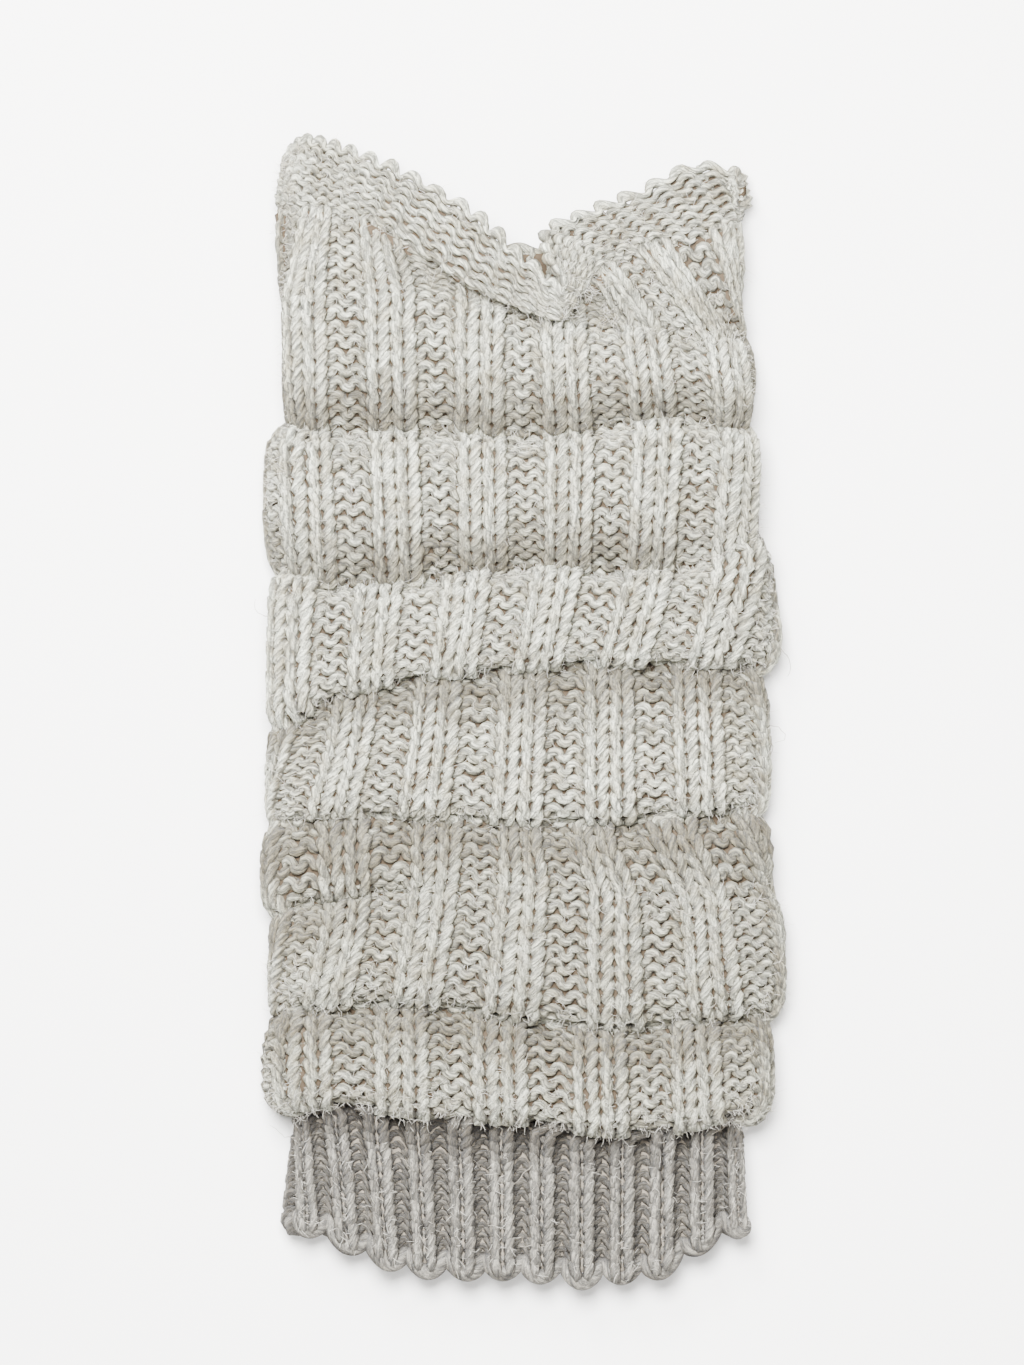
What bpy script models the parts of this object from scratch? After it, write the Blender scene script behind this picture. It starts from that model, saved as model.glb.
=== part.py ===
"""Slouched leg warmer in thick wool rib, laid flat with its long side along Y.

The garment is one knitted tube in three pieces: a top band in purl, a leg in two-by-two rib
that is pushed down into seven soft folds, and an ankle cuff in one-by-one rib. Each piece is
a closed wall that is open at both ends. The front panel lies on the back panel, and the
back rests flat on the plane Z = 0. Sizes are in millimetres until a mesh is made.
"""

from typing import NamedTuple

import bmesh
import bpy
import numpy as np

MM = 0.001

# The knitting
STITCHES = 48
STITCH_WIDTH = 6.75
RIB_REPEAT = 4
PERIMETER = STITCHES * STITCH_WIDTH
RIB_CENTRE = 2.25
WALL = 3.2
BAND_WALL = 2.4
LEG_RIB_RAISE = 1.2
LEG_RIB_SINK = 0.8
CUFF_RIB_RAISE = 1.3
CUFF_RIB_SINK = 0.9
SEAM_GAP = 0.45
FOOTPRINT_MIDDLE = (1.3, -0.5, 0.0)
SEAM_MITRE = 0.75
CUFF_SHOULDER = 54.0
CUFF_TAKE_IN = 0.13

# The flattened tube
STRAIGHT = 61.0
SIDE_ARC = PERIMETER / 2 - 2 * STRAIGHT
SIDE_LEVEL = 9.0
CROWN = 0.05
BACK_LEVEL = 0.6
BACK_FOLD_LEVEL = 4.6
FOLD_LEVEL = 13.8
UNDERCUT = 5.0
BACK_SHARE = 0.35
SIDE_DIP = 0.75
STEEP_REACH = 12.0
SHOULDER = 2.6
SHOULDER_ABOVE = 1.4
SHOULDER_BELOW = 1.2

# Points of each ring: where a rib's raised face and the groove beside it begin, in stitches
RIB_POINTS = ((-0.8, True), (0.8, True), (1.25, False), (2.75, False))
CUFF_POINTS = ((-0.35, True), (0.35, True), (0.75, False), (1.25, False))
OUTER_TURNS = (0, 22, 45, 68, 90, 112, 135, 158)
INNER_TURNS = (0, 32, 60, 90, 120, 148)
BAND_STEPS = (0.0, 0.16, 0.34, 0.5, 0.66, 0.83, 1.0)
CUFF_STEPS = (0.0, 0.17, 0.32, 0.52, 0.76, 1.0)

# Places across the front where the tables below give a value
ACROSS = (-70.0, -47.0, -23.0, 0.0, 23.0, 47.0, 70.0)
EDGE_MIDDLE_EDGE = (-60.0, 0.0, 60.0)


class Fold(NamedTuple):
    """A crease round the tube: its place and depth across the front, and how it leans."""

    name: str
    y: tuple
    depth: tuple
    lean: float
    half_left: float
    half_right: float


DEEP = (1.0,) * len(ACROSS)
FADING_LEFT = (0.0, 0.0, 0.5, 1.0, 1.0, 1.0, 1.0)
FADING_RIGHT = (0.7, 1.0, 1.0, 1.0, 1.0, 0.8, 0.25)
LEFT_ONLY = (1.0, 0.9, 0.3, 0.0, 0.0, 0.0, 0.0)
FOLDS = (
    Fold("collar", (121.4, 121.4, 125.0, 122.0, 115.8, 112.1, 108.5), FADING_LEFT, 0.0, 72.5, 69.5),
    Fold("first", (83.9, 83.6, 83.6, 81.5, 84.2, 87.8, 83.0), DEEP, -0.6, 70.5, 70.0),
    Fold("second", (39.8, 37.7, 40.1, 43.1, 42.5, 41.9, 47.9), FADING_RIGHT, -0.8, 72.5, 74.5),
    Fold("third", (-8.3, 1.1, 5.3, 7.1, 8.9, 8.3, 9.5), DEEP, 1.0, 74.0, 70.7),
    Fold("fourth", (-36.8, -36.8, -37.4, -38.9, -38.9, -36.5, -34.1), DEEP, 0.8, 73.4, 70.7),
    Fold("fifth", (-62.9, -59.3, -55.7, -55.7, -57.2, -58.7, -60.2), LEFT_ONLY, 0.6, 73.0, 77.0),
    Fold("sixth", (-93.8, -92.9, -93.5, -97.1, -99.5, -98.6, -94.4), DEEP, 0.6, 74.5, 73.0),
    Fold("ankle", (-123.2, -124.1, -127.4, -128.0, -131.3, -130.4, -124.7), DEEP, 1.0, 68.6, 67.5),
)


class Roll(NamedTuple):
    """The cloth between two creases: its height, its half widths and the ribs' sideways drift."""

    crest: float
    half_left: float
    half_right: float
    drift_top: tuple
    drift_bottom: tuple


ROLLS = (
    Roll(24.5, 72.0, 71.9, (0.0, -1.2, -7.0), (0.9, -0.6, -3.0)),
    Roll(25.0, 77.2, 73.6, (1.5, 0.0, -0.9), (3.6, 0.0, -4.5)),
    Roll(27.0, 75.5, 78.0, (-3.0, -4.2, -3.6), (-6.6, -9.0, -8.4)),
    Roll(25.0, 75.8, 74.9, (-8.0, -13.2, -16.5), (-19.8, -17.1, -15.0)),
    Roll(24.0, 76.7, 75.5, (-15.5, -13.5, -24.0), (-13.5, -13.8, -14.1)),
    Roll(25.5, 74.5, 79.4, (-11.0, -14.4, -14.1), (-19.2, -19.8, -10.8)),
    Roll(27.0, 78.3, 76.0, (-27.0, -23.4, -16.8), (-27.0, -22.2, -16.2)),
)


class Mouth(NamedTuple):
    """One place round the top band: where its seam, its turned rim and its free edge lie."""

    stitch: float
    seam: tuple
    rim: tuple
    edge: tuple


MOUTH = (
    Mouth(-19.0, (-50.0, 141.0, 1.2), (-50.0, 147.0, 1.0), (-50.0, 155.5, 1.6)),
    Mouth(-16.8, (-69.0, 146.0, 4.0), (-70.0, 153.0, 4.0), (-69.5, 160.0, 4.5)),
    Mouth(-15.0, (-73.8, 147.0, 9.5), (-74.4, 154.3, 9.0), (-72.8, 162.5, 8.5)),
    Mouth(-12.2, (-69.5, 147.3, 18.0), (-70.5, 154.3, 17.0), (-66.3, 170.0, 13.5)),
    Mouth(-10.0, (-60.5, 146.8, 21.0), (-61.0, 153.5, 20.5), (-58.0, 168.5, 15.5)),
    Mouth(-6.0, (-43.0, 141.5, 21.5), (-41.0, 147.0, 23.5), (-35.5, 160.3, 18.5)),
    Mouth(-3.0, (-23.5, 131.0, 21.5), (-21.5, 134.5, 25.5), (-14.5, 147.5, 24.0)),
    Mouth(0.0, (-4.0, 124.5, 20.5), (-2.0, 125.5, 26.0), (1.5, 133.5, 27.5)),
    Mouth(2.2, (11.0, 121.5, 20.0), (11.5, 120.5, 26.0), (11.5, 125.0, 29.0)),
    Mouth(4.0, (19.5, 123.5, 19.5), (18.0, 124.5, 25.0), (15.0, 130.5, 28.5)),
    Mouth(6.0, (26.0, 129.0, 19.0), (22.0, 131.5, 23.5), (16.0, 137.0, 26.5)),
    Mouth(8.0, (33.0, 133.0, 19.5), (28.0, 136.5, 22.0), (18.5, 142.5, 24.0)),
    Mouth(10.0, (40.5, 136.8, 20.0), (35.0, 142.0, 21.0), (25.0, 147.5, 21.0)),
    Mouth(12.0, (51.0, 140.0, 19.5), (47.0, 147.0, 19.5), (37.0, 154.0, 17.5)),
    Mouth(14.0, (63.5, 142.5, 16.0), (61.5, 150.0, 16.0), (53.0, 162.0, 14.0)),
    Mouth(15.6, (69.2, 144.2, 9.5), (69.0, 151.0, 9.5), (66.0, 161.5, 8.5)),
    Mouth(17.2, (66.0, 144.8, 2.8), (65.5, 151.0, 2.8), (63.0, 158.5, 2.8)),
    Mouth(20.0, (50.0, 142.5, 1.2), (50.0, 148.0, 1.0), (50.0, 156.0, 1.6)),
    Mouth(24.5, (0.0, 124.5, 1.2), (0.5, 130.0, 1.0), (1.0, 137.0, 2.0)),
)


class Cuff(NamedTuple):
    """The ankle cuff's free edge across the front, its front level and its half widths."""

    edge: tuple = (-155.6, -165.5, -168.8, -169.7, -170.9, -168.8, -156.2)
    level: float = 13.2
    edge_level: float = 13.0
    half_top: float = 67.0
    half_middle: float = 68.6
    half_edge: float = 70.0


def hermite(places, values, at):
    """A smooth curve through the values, read at any places between the first and the last."""
    places = np.asarray(places, float)
    values = np.asarray(values, float)
    slopes = np.gradient(values, places, axis=0)
    i = np.clip(np.searchsorted(places, at) - 1, 0, len(places) - 2)
    width = places[i + 1] - places[i]
    t = np.clip((at - places[i]) / width, 0, 1)
    if values.ndim > 1:
        t, width = t[..., None], width[..., None]
    start = (1 + 2 * t) * (1 - t) ** 2 * values[i] + t * (1 - t) ** 2 * width * slopes[i]
    return start + t**2 * (3 - 2 * t) * values[i + 1] + t**2 * (t - 1) * width * slopes[i + 1]


def wrapped(place):
    """A place round the tube, in millimetres from the middle of the front, within half a turn."""
    return (place + PERIMETER / 2) % PERIMETER - PERIMETER / 2


def round_tube(places, values, place):
    """A front table's value at a place round the tube. The back runs straight between its ends."""
    place = wrapped(place)
    front = hermite(places, values, np.clip(place, places[0], places[-1]))
    behind = np.sign(place) * (PERIMETER / 2 - np.abs(place))
    share = (behind + STRAIGHT) / (2 * STRAIGHT)
    back = values[0] + (values[-1] - values[0]) * share
    return np.where(np.abs(place) > STRAIGHT + SIDE_ARC, back, front)


def on_section(place, half_left, half_right, front, back):
    """The X and Z of places round a flattened section: two straight panels and two round sides."""
    place = wrapped(place)
    away = np.abs(place)
    side = np.where(place < 0, -1.0, 1.0)
    half = np.where(place < 0, half_left, half_right)
    turn = np.pi * (0.5 - np.clip((away - STRAIGHT) / SIDE_ARC, 0, 1))
    lift = np.where(turn > 0, front - SIDE_LEVEL, SIDE_LEVEL - back)
    x_front = place
    x_back = side * (PERIMETER / 2 - away)
    x_side = side * (STRAIGHT + (half - STRAIGHT) * np.cos(turn))
    x = np.where(away < STRAIGHT, x_front, np.where(away > STRAIGHT + SIDE_ARC, x_back, x_side))
    crown = np.where(turn > 0, 1 - CROWN * np.clip(x / STRAIGHT, -1, 1) ** 2, 1.0)
    return x, SIDE_LEVEL + lift * np.sin(turn) * crown


def fold_level(index, place, inset):
    """The front's level at the bottom of a crease, which rises as the crease fades out."""
    above = ROLLS[max(index - 1, 0)].crest
    below = ROLLS[min(index, len(ROLLS) - 1)].crest
    full = (above + below) / 2
    depth = np.clip(round_tube(ACROSS, FOLDS[index].depth, place), 0, 1)
    return full - depth * (full - FOLD_LEVEL) - inset


def fold_back_level(index, place, inset):
    """The back's level at a crease: it rises off the floor as the crease deepens."""
    depth = np.clip(round_tube(ACROSS, FOLDS[index].depth, place), 0, 1)
    return BACK_LEVEL + depth * (BACK_FOLD_LEVEL - BACK_LEVEL) + inset


def overlap_share(index, place):
    """How far the cloth on one side of a crease reaches over it: least where the crease fades."""
    depth = np.clip(round_tube(ACROSS, FOLDS[index].depth, place), 0, 1)
    behind = np.clip((np.abs(wrapped(place)) - STRAIGHT) / SIDE_ARC, 0, 1)
    return depth * (1 - (1 - BACK_SHARE) * behind) * (1 - SIDE_DIP * np.sin(np.pi * behind) ** 2)


def leg_points(stitch, index, turn, inset=0.0):
    """Points of the leg's surface.

    stitch counts round the tube from the middle of the front, index is the roll, and turn runs
    from 0 at the crease above it, over its crest at 90, to 180 at the crease below it.
    """
    roll, above, below = ROLLS[index], FOLDS[index], FOLDS[index + 1]
    angle = np.radians(turn)
    rise = np.sin(angle)
    shoulder = np.where(
        angle < np.pi / 2,
        SHOULDER - SHOULDER_BELOW * above.lean,
        SHOULDER + SHOULDER_ABOVE * below.lean,
    )
    reach = np.abs(np.cos(angle)) ** (2 / np.maximum(shoulder, 2.0))
    down = (1 - np.sign(np.cos(angle)) * reach) / 2
    plain = stitch * STITCH_WIDTH + RIB_CENTRE
    top = round_tube(EDGE_MIDDLE_EDGE, roll.drift_top, plain)
    bottom = round_tube(EDGE_MIDDLE_EDGE, roll.drift_bottom, plain)
    place = plain + top + (bottom - top) * down
    share_above, share_below = overlap_share(index, place), overlap_share(index + 1, place)
    tucked = UNDERCUT * (1 - rise)
    y_above = round_tube(ACROSS, above.y, place) + above.lean * tucked * share_above
    y_below = round_tube(ACROSS, below.y, place) + below.lean * tucked * share_below
    y = y_above + (y_below - y_above) * down
    share = np.where(angle < np.pi / 2, share_above, share_below)
    at_seam = index == len(ROLLS) - 1 and turn == 180.0
    mitre = SEAM_MITRE if at_seam else float(rise > 1e-6)
    beside = inset * share * np.sqrt(np.abs(np.cos(angle))) * mitre
    y = y - np.sign(np.cos(angle)) * beside
    low = fold_level(index, place, inset)
    low = low + (fold_level(index + 1, place, inset) - low) * down
    front = low + (roll.crest - inset - low) * rise
    high = fold_back_level(index, place, inset)
    high = high + (fold_back_level(index + 1, place, inset) - high) * down
    back = high + (BACK_LEVEL + inset - high) * rise
    left = above.half_left + (below.half_left - above.half_left) * down
    right = above.half_right + (below.half_right - above.half_right) * down
    left = left + (roll.half_left - left) * rise - inset
    right = right + (roll.half_right - right) * rise - inset
    x, z = on_section(place, left, right, front, back)
    return np.stack([x, y, z], axis=-1)


def band_points(stitch, down):
    """Points of the top band's outside: down is 0 at its seam with the leg and 1 at its edge."""
    stitches = np.array([row.stitch for row in MOUTH])
    stitches = np.concatenate([stitches - STITCHES, stitches, stitches + STITCHES])
    lines = []
    for name in ("seam", "rim", "edge"):
        line = np.array([getattr(row, name) for row in MOUTH])
        lines.append(hermite(stitches, np.tile(line, (3, 1)), stitch))
    seam, rim, edge = lines
    return seam * (1 - down) * (1 - 2 * down) + rim * 4 * down * (1 - down) + edge * down * (2 * down - 1)


def unit(vectors):
    """The vectors at length 1."""
    return vectors / np.maximum(np.linalg.norm(vectors, axis=-1, keepdims=True), 1e-9)


def outward(points_at, stitch, along, step):
    """The outward direction of a surface, from small steps round it and along it."""
    across = points_at(stitch + 0.05, along) - points_at(stitch - 0.05, along)
    down = points_at(stitch, along - step) - points_at(stitch, along + step)
    return unit(np.cross(across, down))


def ring_stitches(pattern, repeat, first):
    """Where a ring's points lie round the tube, in stitches, and which of them are raised."""
    starts = first + np.arange(0, STITCHES, repeat)
    stitches = (starts[:, None] + np.array([at for at, _ in pattern])).ravel()
    raised = np.tile([up for _, up in pattern], len(starts))
    return stitches, raised


def leg_rows():
    """The outer rings of the leg, with its ribs, and its plain inner rings, top to bottom."""
    stitches, raised = ring_stitches(RIB_POINTS, RIB_REPEAT, RIB_REPEAT / 2)
    plain = stitches[::2]
    outer, inner = [], []
    seam = band_points(stitches, 0.0)
    ahead = unit(band_points(stitches, 0.02) - seam)
    seam = seam - SEAM_GAP * ahead
    facing = outward(band_points, stitches, 0.02, -0.02)
    root = leg_points(stitches, 0, 0.0)
    for turn in (90, 62, 34, 14):
        rise, over = np.sin(np.radians(turn)), 1 - np.cos(np.radians(turn))
        row = root + (seam - root) * np.array([over, over, rise])
        outer.append(row)
    root_in = leg_points(plain, 0, 0.0, WALL)
    seam_in = (seam - WALL * facing)[::2]
    steep = np.clip(1 - (seam - root)[::2, 1] / STEEP_REACH, 0, 1)
    for turn in (90, 45):
        rise, over = np.sin(np.radians(turn)), 1 - np.cos(np.radians(turn))
        ahead_share = over + (rise - over) * steep
        up_share = rise + (over - rise) * steep
        inner.append(root_in + (seam_in - root_in) * np.stack([ahead_share, ahead_share, up_share], axis=1))
    for index in range(len(ROLLS)):
        def points_at(stitch, turn, index=index):
            return leg_points(stitch, index, turn)
        for turn in OUTER_TURNS:
            row = points_at(stitches, float(turn))
            if turn:
                height = np.where(raised, LEG_RIB_RAISE, -LEG_RIB_SINK)
                taper = min(1.0, 1.3 * np.sin(np.radians(turn)))
                row = row + outward(points_at, stitches, float(turn), 1.0) * (height * taper)[:, None]
            outer.append(row)
        inner += [leg_points(plain, index, float(turn), WALL) for turn in INNER_TURNS]
    last = len(ROLLS) - 1
    outer.append(leg_points(stitches, last, 180.0))
    inner.append(leg_points(plain, last, 180.0, WALL))
    return outer, inner


def band_rows():
    """The outer and inner rings of the top band, from its edge to its seam."""
    stitches, _ = ring_stitches(RIB_POINTS, RIB_REPEAT, RIB_REPEAT / 2)
    outer, inner = [], []
    for down in reversed(BAND_STEPS):
        row = band_points(stitches, down)
        near = min(max(down, 0.02), 0.98)
        outer.append(row)
        facing = outward(band_points, stitches, near, -0.02)
        inner.append((row - BAND_WALL * facing)[::2])
    return outer, inner


def cuff_points(stitch, down, inset=0.0):
    """Points of the ankle cuff: down is 0 at its seam inside the last fold and 1 at its edge."""
    cuff = Cuff()
    corners = ring_stitches(RIB_POINTS, RIB_REPEAT, RIB_REPEAT / 2)[0][:: 2 if inset else 1]
    ring = leg_points(corners, len(ROLLS) - 1, 180.0, inset)
    start = np.stack([np.interp(stitch, corners, axis, period=STITCHES) for axis in ring.T], axis=-1)
    beyond = np.maximum(np.abs(start[:, 0]) - CUFF_SHOULDER, 0.0)
    start[:, 0] -= np.sign(start[:, 0]) * CUFF_TAKE_IN * beyond
    place = stitch * STITCH_WIDTH + RIB_CENTRE + ROLLS[-1].drift_bottom[1]
    halves = (cuff.half_top, cuff.half_middle, cuff.half_edge)
    half = hermite((0.0, 0.5, 1.0), halves, np.full_like(stitch, down))
    level = cuff.level + (cuff.edge_level - cuff.level) * down
    x, z = on_section(place, half - inset, half - inset, level - inset, BACK_LEVEL + inset)
    end = np.stack([x, round_tube(ACROSS, cuff.edge, place), z], axis=-1)
    settle = np.clip((down - 0.17) / 0.2, 0.0, 1.0)
    shape = start + (end - start) * np.array([settle, 0.0, settle])
    shape[:, 1] = start[:, 1] - SEAM_GAP + (end[:, 1] - start[:, 1] + SEAM_GAP) * down
    return shape


def cuff_rows():
    """The outer rings of the cuff, with its ribs, and its plain inner rings."""
    stitches, raised = ring_stitches(CUFF_POINTS, 2, 0.5)
    outer, inner = [], []
    for down in CUFF_STEPS:
        row = cuff_points(stitches, down)
        taper = np.clip((down - 0.12) / 0.2, 0.0, 1.0)
        height = np.where(raised, CUFF_RIB_RAISE, -CUFF_RIB_SINK) * taper
        near = min(max(down, 0.02), 0.98)
        outer.append(row + outward(cuff_points, stitches, near, 0.02) * height[:, None])
        inner.append(cuff_points(stitches[::2], down, WALL))
    return outer, inner


def finish(name, base_colour):
    """A rough wool finish in the given linear colour."""
    material = bpy.data.materials.new(name)
    material.use_nodes = True
    shader = material.node_tree.nodes["Principled BSDF"]
    shader.inputs["Base Color"].default_value = (*base_colour, 1.0)
    shader.inputs["Roughness"].default_value = 0.95
    shader.inputs["Metallic"].default_value = 0.0
    return material


def tube_wall(name, rows, material, collection):
    """A closed wall: outer and inner rings are skinned, and the two ends are bridged."""
    shape = bmesh.new()
    ends = ([], [])
    for rings, inside in zip(rows, (False, True)):
        loops = []
        for ring in rings:
            ring = np.array(ring) - FOOTPRINT_MIDDLE
            ring[:, 2] = np.maximum(ring[:, 2], 0.0)
            loops.append([shape.verts.new(point) for point in ring * MM])
        for upper, lower in zip(loops, loops[1:]):
            for i in range(len(upper)):
                j = (i + 1) % len(upper)
                face = (upper[i], lower[i], lower[j], upper[j])
                shape.faces.new(face[::-1] if inside else face)
        for end, loop in zip(ends, (loops[0], loops[-1])):
            end += [shape.edges.get((loop[i - 1], loop[i])) for i in range(len(loop))]
    for end in ends:
        bmesh.ops.bridge_loops(shape, edges=end)
    bmesh.ops.recalc_face_normals(shape, faces=shape.faces)
    mesh = bpy.data.meshes.new(name)
    shape.to_mesh(mesh)
    shape.free()
    mesh.materials.append(material)
    mesh.shade_smooth()
    piece = bpy.data.objects.new(name, mesh)
    collection.objects.link(piece)
    return piece


def main():
    """Clears the scene and builds the three pieces."""
    for old in list(bpy.data.objects):
        bpy.data.objects.remove(old)
    collection = bpy.data.collections.new("leg_warmer")
    bpy.context.scene.collection.children.link(collection)
    oatmeal = finish("oatmeal_wool", (0.68, 0.66, 0.61))
    tube_wall("top_band", band_rows(), oatmeal, collection)
    tube_wall("ribbed_leg", leg_rows(), oatmeal, collection)
    tube_wall("ankle_cuff", cuff_rows(), oatmeal, collection)


main()
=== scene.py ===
"""Slouched leg warmer in thick oatmeal wool, laid flat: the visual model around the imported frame.

The knitting is modelled yarn by yarn. A smooth surface gives the laid garment's form, with its
folds, and every knitted row is one closed strand of yarn that loops along that surface. A thin
core wall lies inside the yarn and closes the gaps between the loops.
"""

from __future__ import annotations

import logging
import math
from collections.abc import Callable
from dataclasses import dataclass, field
from enum import Enum
from functools import partial
from typing import NamedTuple

import bmesh
import bpy
import numpy as np
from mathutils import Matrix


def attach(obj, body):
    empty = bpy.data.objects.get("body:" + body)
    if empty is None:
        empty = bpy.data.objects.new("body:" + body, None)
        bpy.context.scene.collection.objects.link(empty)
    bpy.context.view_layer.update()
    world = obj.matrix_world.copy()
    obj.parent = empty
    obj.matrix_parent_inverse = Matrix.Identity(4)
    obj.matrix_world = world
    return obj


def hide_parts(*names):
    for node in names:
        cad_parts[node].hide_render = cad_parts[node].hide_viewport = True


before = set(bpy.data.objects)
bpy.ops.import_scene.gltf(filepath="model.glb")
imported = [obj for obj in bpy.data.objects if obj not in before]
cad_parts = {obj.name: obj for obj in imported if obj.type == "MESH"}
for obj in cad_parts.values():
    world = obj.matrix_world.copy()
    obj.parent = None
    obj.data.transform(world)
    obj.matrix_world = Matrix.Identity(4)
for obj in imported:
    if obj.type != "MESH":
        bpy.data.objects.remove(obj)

MM = 0.001
LOG = logging.getLogger("leg_warmer")
Array = np.ndarray
Socket = bpy.types.NodeSocket
AddNode = Callable[..., bpy.types.Node]

# The tube: stitches, and millimetres round it
STITCHES = 48
RIB_REPEAT = 4
LEG_AROUND = 324.0
CUFF_AROUND = 288.0
RIB_CENTRE = 2.25  # how far all ribs are shifted round the tube
LEG_KNIT, LEG_PURL = 7.7, 5.8  # one knit and one purl stitch of the leg
CUFF_KNIT, CUFF_PURL = 8.2, 3.8

# The laid garment, in millimetres, as in the frame
FOOTPRINT_MIDDLE = np.array([1.3, -0.5, 0.0])  # taken off the tables' places to centre the footprint
STRAIGHT = 61.0  # half the width that lies flat between the two round sides
SIDE_LEVEL = 9.6  # height of the sides' outermost line
CROWN = 0.05  # share by which the front's sides lie lower than its middle
BACK_LEVEL = 2.2
BACK_FOLD_LEVEL = 5.8  # the back's height in a crease
FOLD_LEVEL = 17.3  # the front's height in a crease
UNDERCUT = 5.0  # how far a tier hangs over the crease below it
BACK_SHARE = 0.35  # how deep a crease is at the back, against the front
SIDE_DIP = 0.75  # share of its depth that a crease loses round the sides
ACROSS = (-70.0, -47.0, -23.0, 0.0, 23.0, 47.0, 70.0)  # where the fold tables are read off
EDGE_MIDDLE_EDGE = (-60.0, 0.0, 60.0)  # where the ribs' drift is read off

# The cuff, in millimetres
CUFF_HALF_WIDTHS = (67.0, 68.6, 70.0)  # at its top, middle and edge
CUFF_LEVEL = 13.8
CUFF_EDGE = (-155.6, -165.5, -168.8, -169.7, -170.9, -168.8, -156.2)
CUFF_LEAN = 4.0  # how far the left cords lean from top to edge
LOBE = 1.9  # how far the cast-on edge's lobes stand out

# The knitting, in millimetres and in rows
ROW_PITCH = 4.1
STITCH_PITCH = 5.0  # the width at which a stitch lies open
CLOTH_INSET = 2.8  # from the outside of the garment to the line that the yarn follows
BAND_INSET = 2.2
BAND_ROWS = 7
COLLAR_ROWS = 7  # from the band's seam to the first crease
CUFF_ROWS = 15
GRID_PER_STITCH = 8
GRID_PER_ROW = 4
TWIST_LEAD = 15.0  # length of yarn in which the plies turn once
PLIES = 4
HAIR_SIDES = 4

# The shade painted on the yarn: distances in rows from a crease, and shares of light taken
FOLD_SHADE = 0.9  # under cloth that hangs over
FOLD_SHADE_START, FOLD_SHADE_REACH, FOLD_SHADE_PER_LEAN = 1.8, 2.6, 1.8
LIP_SHADE, LIP_SHADE_REACH = 0.1, 0.9  # on the cloth that hangs over
ROOT_SHARE, ROOT_REACH = 0.2, 1.6  # the hidden root stays pale, so that light gets into the crease
LOWER_SHADE, LOWER_CREASE = 0.34, 4  # on all tiers below this crease
BESIDE_RIB_SHADE = 0.4
CRUSHED_SHADE = 0.45
HIDDEN_SIDE_SHARE = 0.28  # what is left of the light between the loops


class Pattern(Enum):
    """The stitch pattern of a stretch of rows."""

    REVERSE = "purl all round"
    WIDE_RIB = "two knit, two purl"
    NARROW_RIB = "one knit, one purl"


class Fold(NamedTuple):
    """A crease round the tube, in millimetres.

    It has its Y and its depth (0 to 1) across the front, and the garment's half widths there. A
    lean above 0 lets the tier above hang over it, and one below 0 the tier below.
    """

    name: str
    y: tuple[float, ...]
    depth: tuple[float, ...]
    lean: float
    half_left: float
    half_right: float


class Roll(NamedTuple):
    """A tier, the cloth between two creases, in millimetres.

    It has the height of its crest, its half widths there, and how far the ribs have slid sideways
    at its top and its bottom, each on the left, in the middle and on the right.
    """

    crest: float
    half_left: float
    half_right: float
    drift_top: tuple[float, float, float]
    drift_bottom: tuple[float, float, float]


class Mouth(NamedTuple):
    """One place round the top band: where its seam, its turned rim and its free edge lie.

    The place is in stitches from the middle of the front, and the three points in millimetres.
    """

    stitch: float
    seam: tuple[float, float, float]
    rim: tuple[float, float, float]
    edge: tuple[float, float, float]


DEEP = (1.0,) * len(ACROSS)
FADING_LEFT = (0.0, 0.0, 0.5, 1.0, 1.0, 1.0, 1.0)
FADING_RIGHT = (0.7, 1.0, 1.0, 1.0, 1.0, 0.8, 0.25)
LEFT_ONLY = (1.0, 0.9, 0.3, 0.0, 0.0, 0.0, 0.0)
FOLDS = (
    Fold("collar", (121.4, 121.4, 122.0, 117.6, 114.4, 112.1, 108.5), FADING_LEFT, 0.0, 72.5, 69.5),
    Fold("first", (83.9, 83.6, 83.6, 81.5, 84.2, 87.8, 83.0), DEEP, -0.6, 70.5, 70.0),
    Fold("second", (39.8, 37.7, 40.1, 43.1, 42.5, 41.9, 47.9), FADING_RIGHT, -0.8, 72.5, 74.5),
    Fold("third", (-8.3, 1.1, 5.3, 7.1, 8.9, 8.3, 9.5), DEEP, 1.0, 74.0, 70.7),
    Fold("fourth", (-36.8, -36.8, -37.4, -38.9, -38.9, -36.5, -34.1), DEEP, 0.8, 73.4, 70.7),
    Fold("fifth", (-62.9, -59.3, -55.7, -55.7, -57.2, -58.7, -60.2), LEFT_ONLY, 0.6, 73.0, 77.0),
    Fold("sixth", (-93.8, -92.9, -93.5, -97.1, -99.5, -98.6, -94.4), DEEP, 0.6, 74.5, 73.0),
    Fold("ankle", (-123.2, -124.1, -127.4, -128.0, -131.3, -130.4, -124.7), DEEP, 1.0, 68.6, 67.5),
)
ROLLS = (
    Roll(24.5, 72.0, 71.9, (0.0, -1.2, -7.0), (0.9, -0.6, -3.0)),
    Roll(25.0, 77.2, 73.6, (1.5, 0.0, -0.9), (3.6, 0.0, -4.5)),
    Roll(27.0, 75.5, 78.0, (-3.0, -3.6, -3.0), (-5.0, -9.8, -13.0)),
    Roll(25.0, 75.8, 74.9, (-8.0, -13.2, -16.5), (-19.8, -17.1, -15.0)),
    Roll(24.0, 76.7, 75.5, (-15.5, -13.5, -24.0), (-13.5, -13.8, -14.1)),
    Roll(25.5, 74.5, 79.4, (-11.0, -14.4, -14.1), (-19.2, -19.8, -10.8)),
    Roll(27.0, 78.3, 76.0, (-27.0, -23.4, -16.8), (-27.0, -22.2, -16.2)),
)
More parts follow.
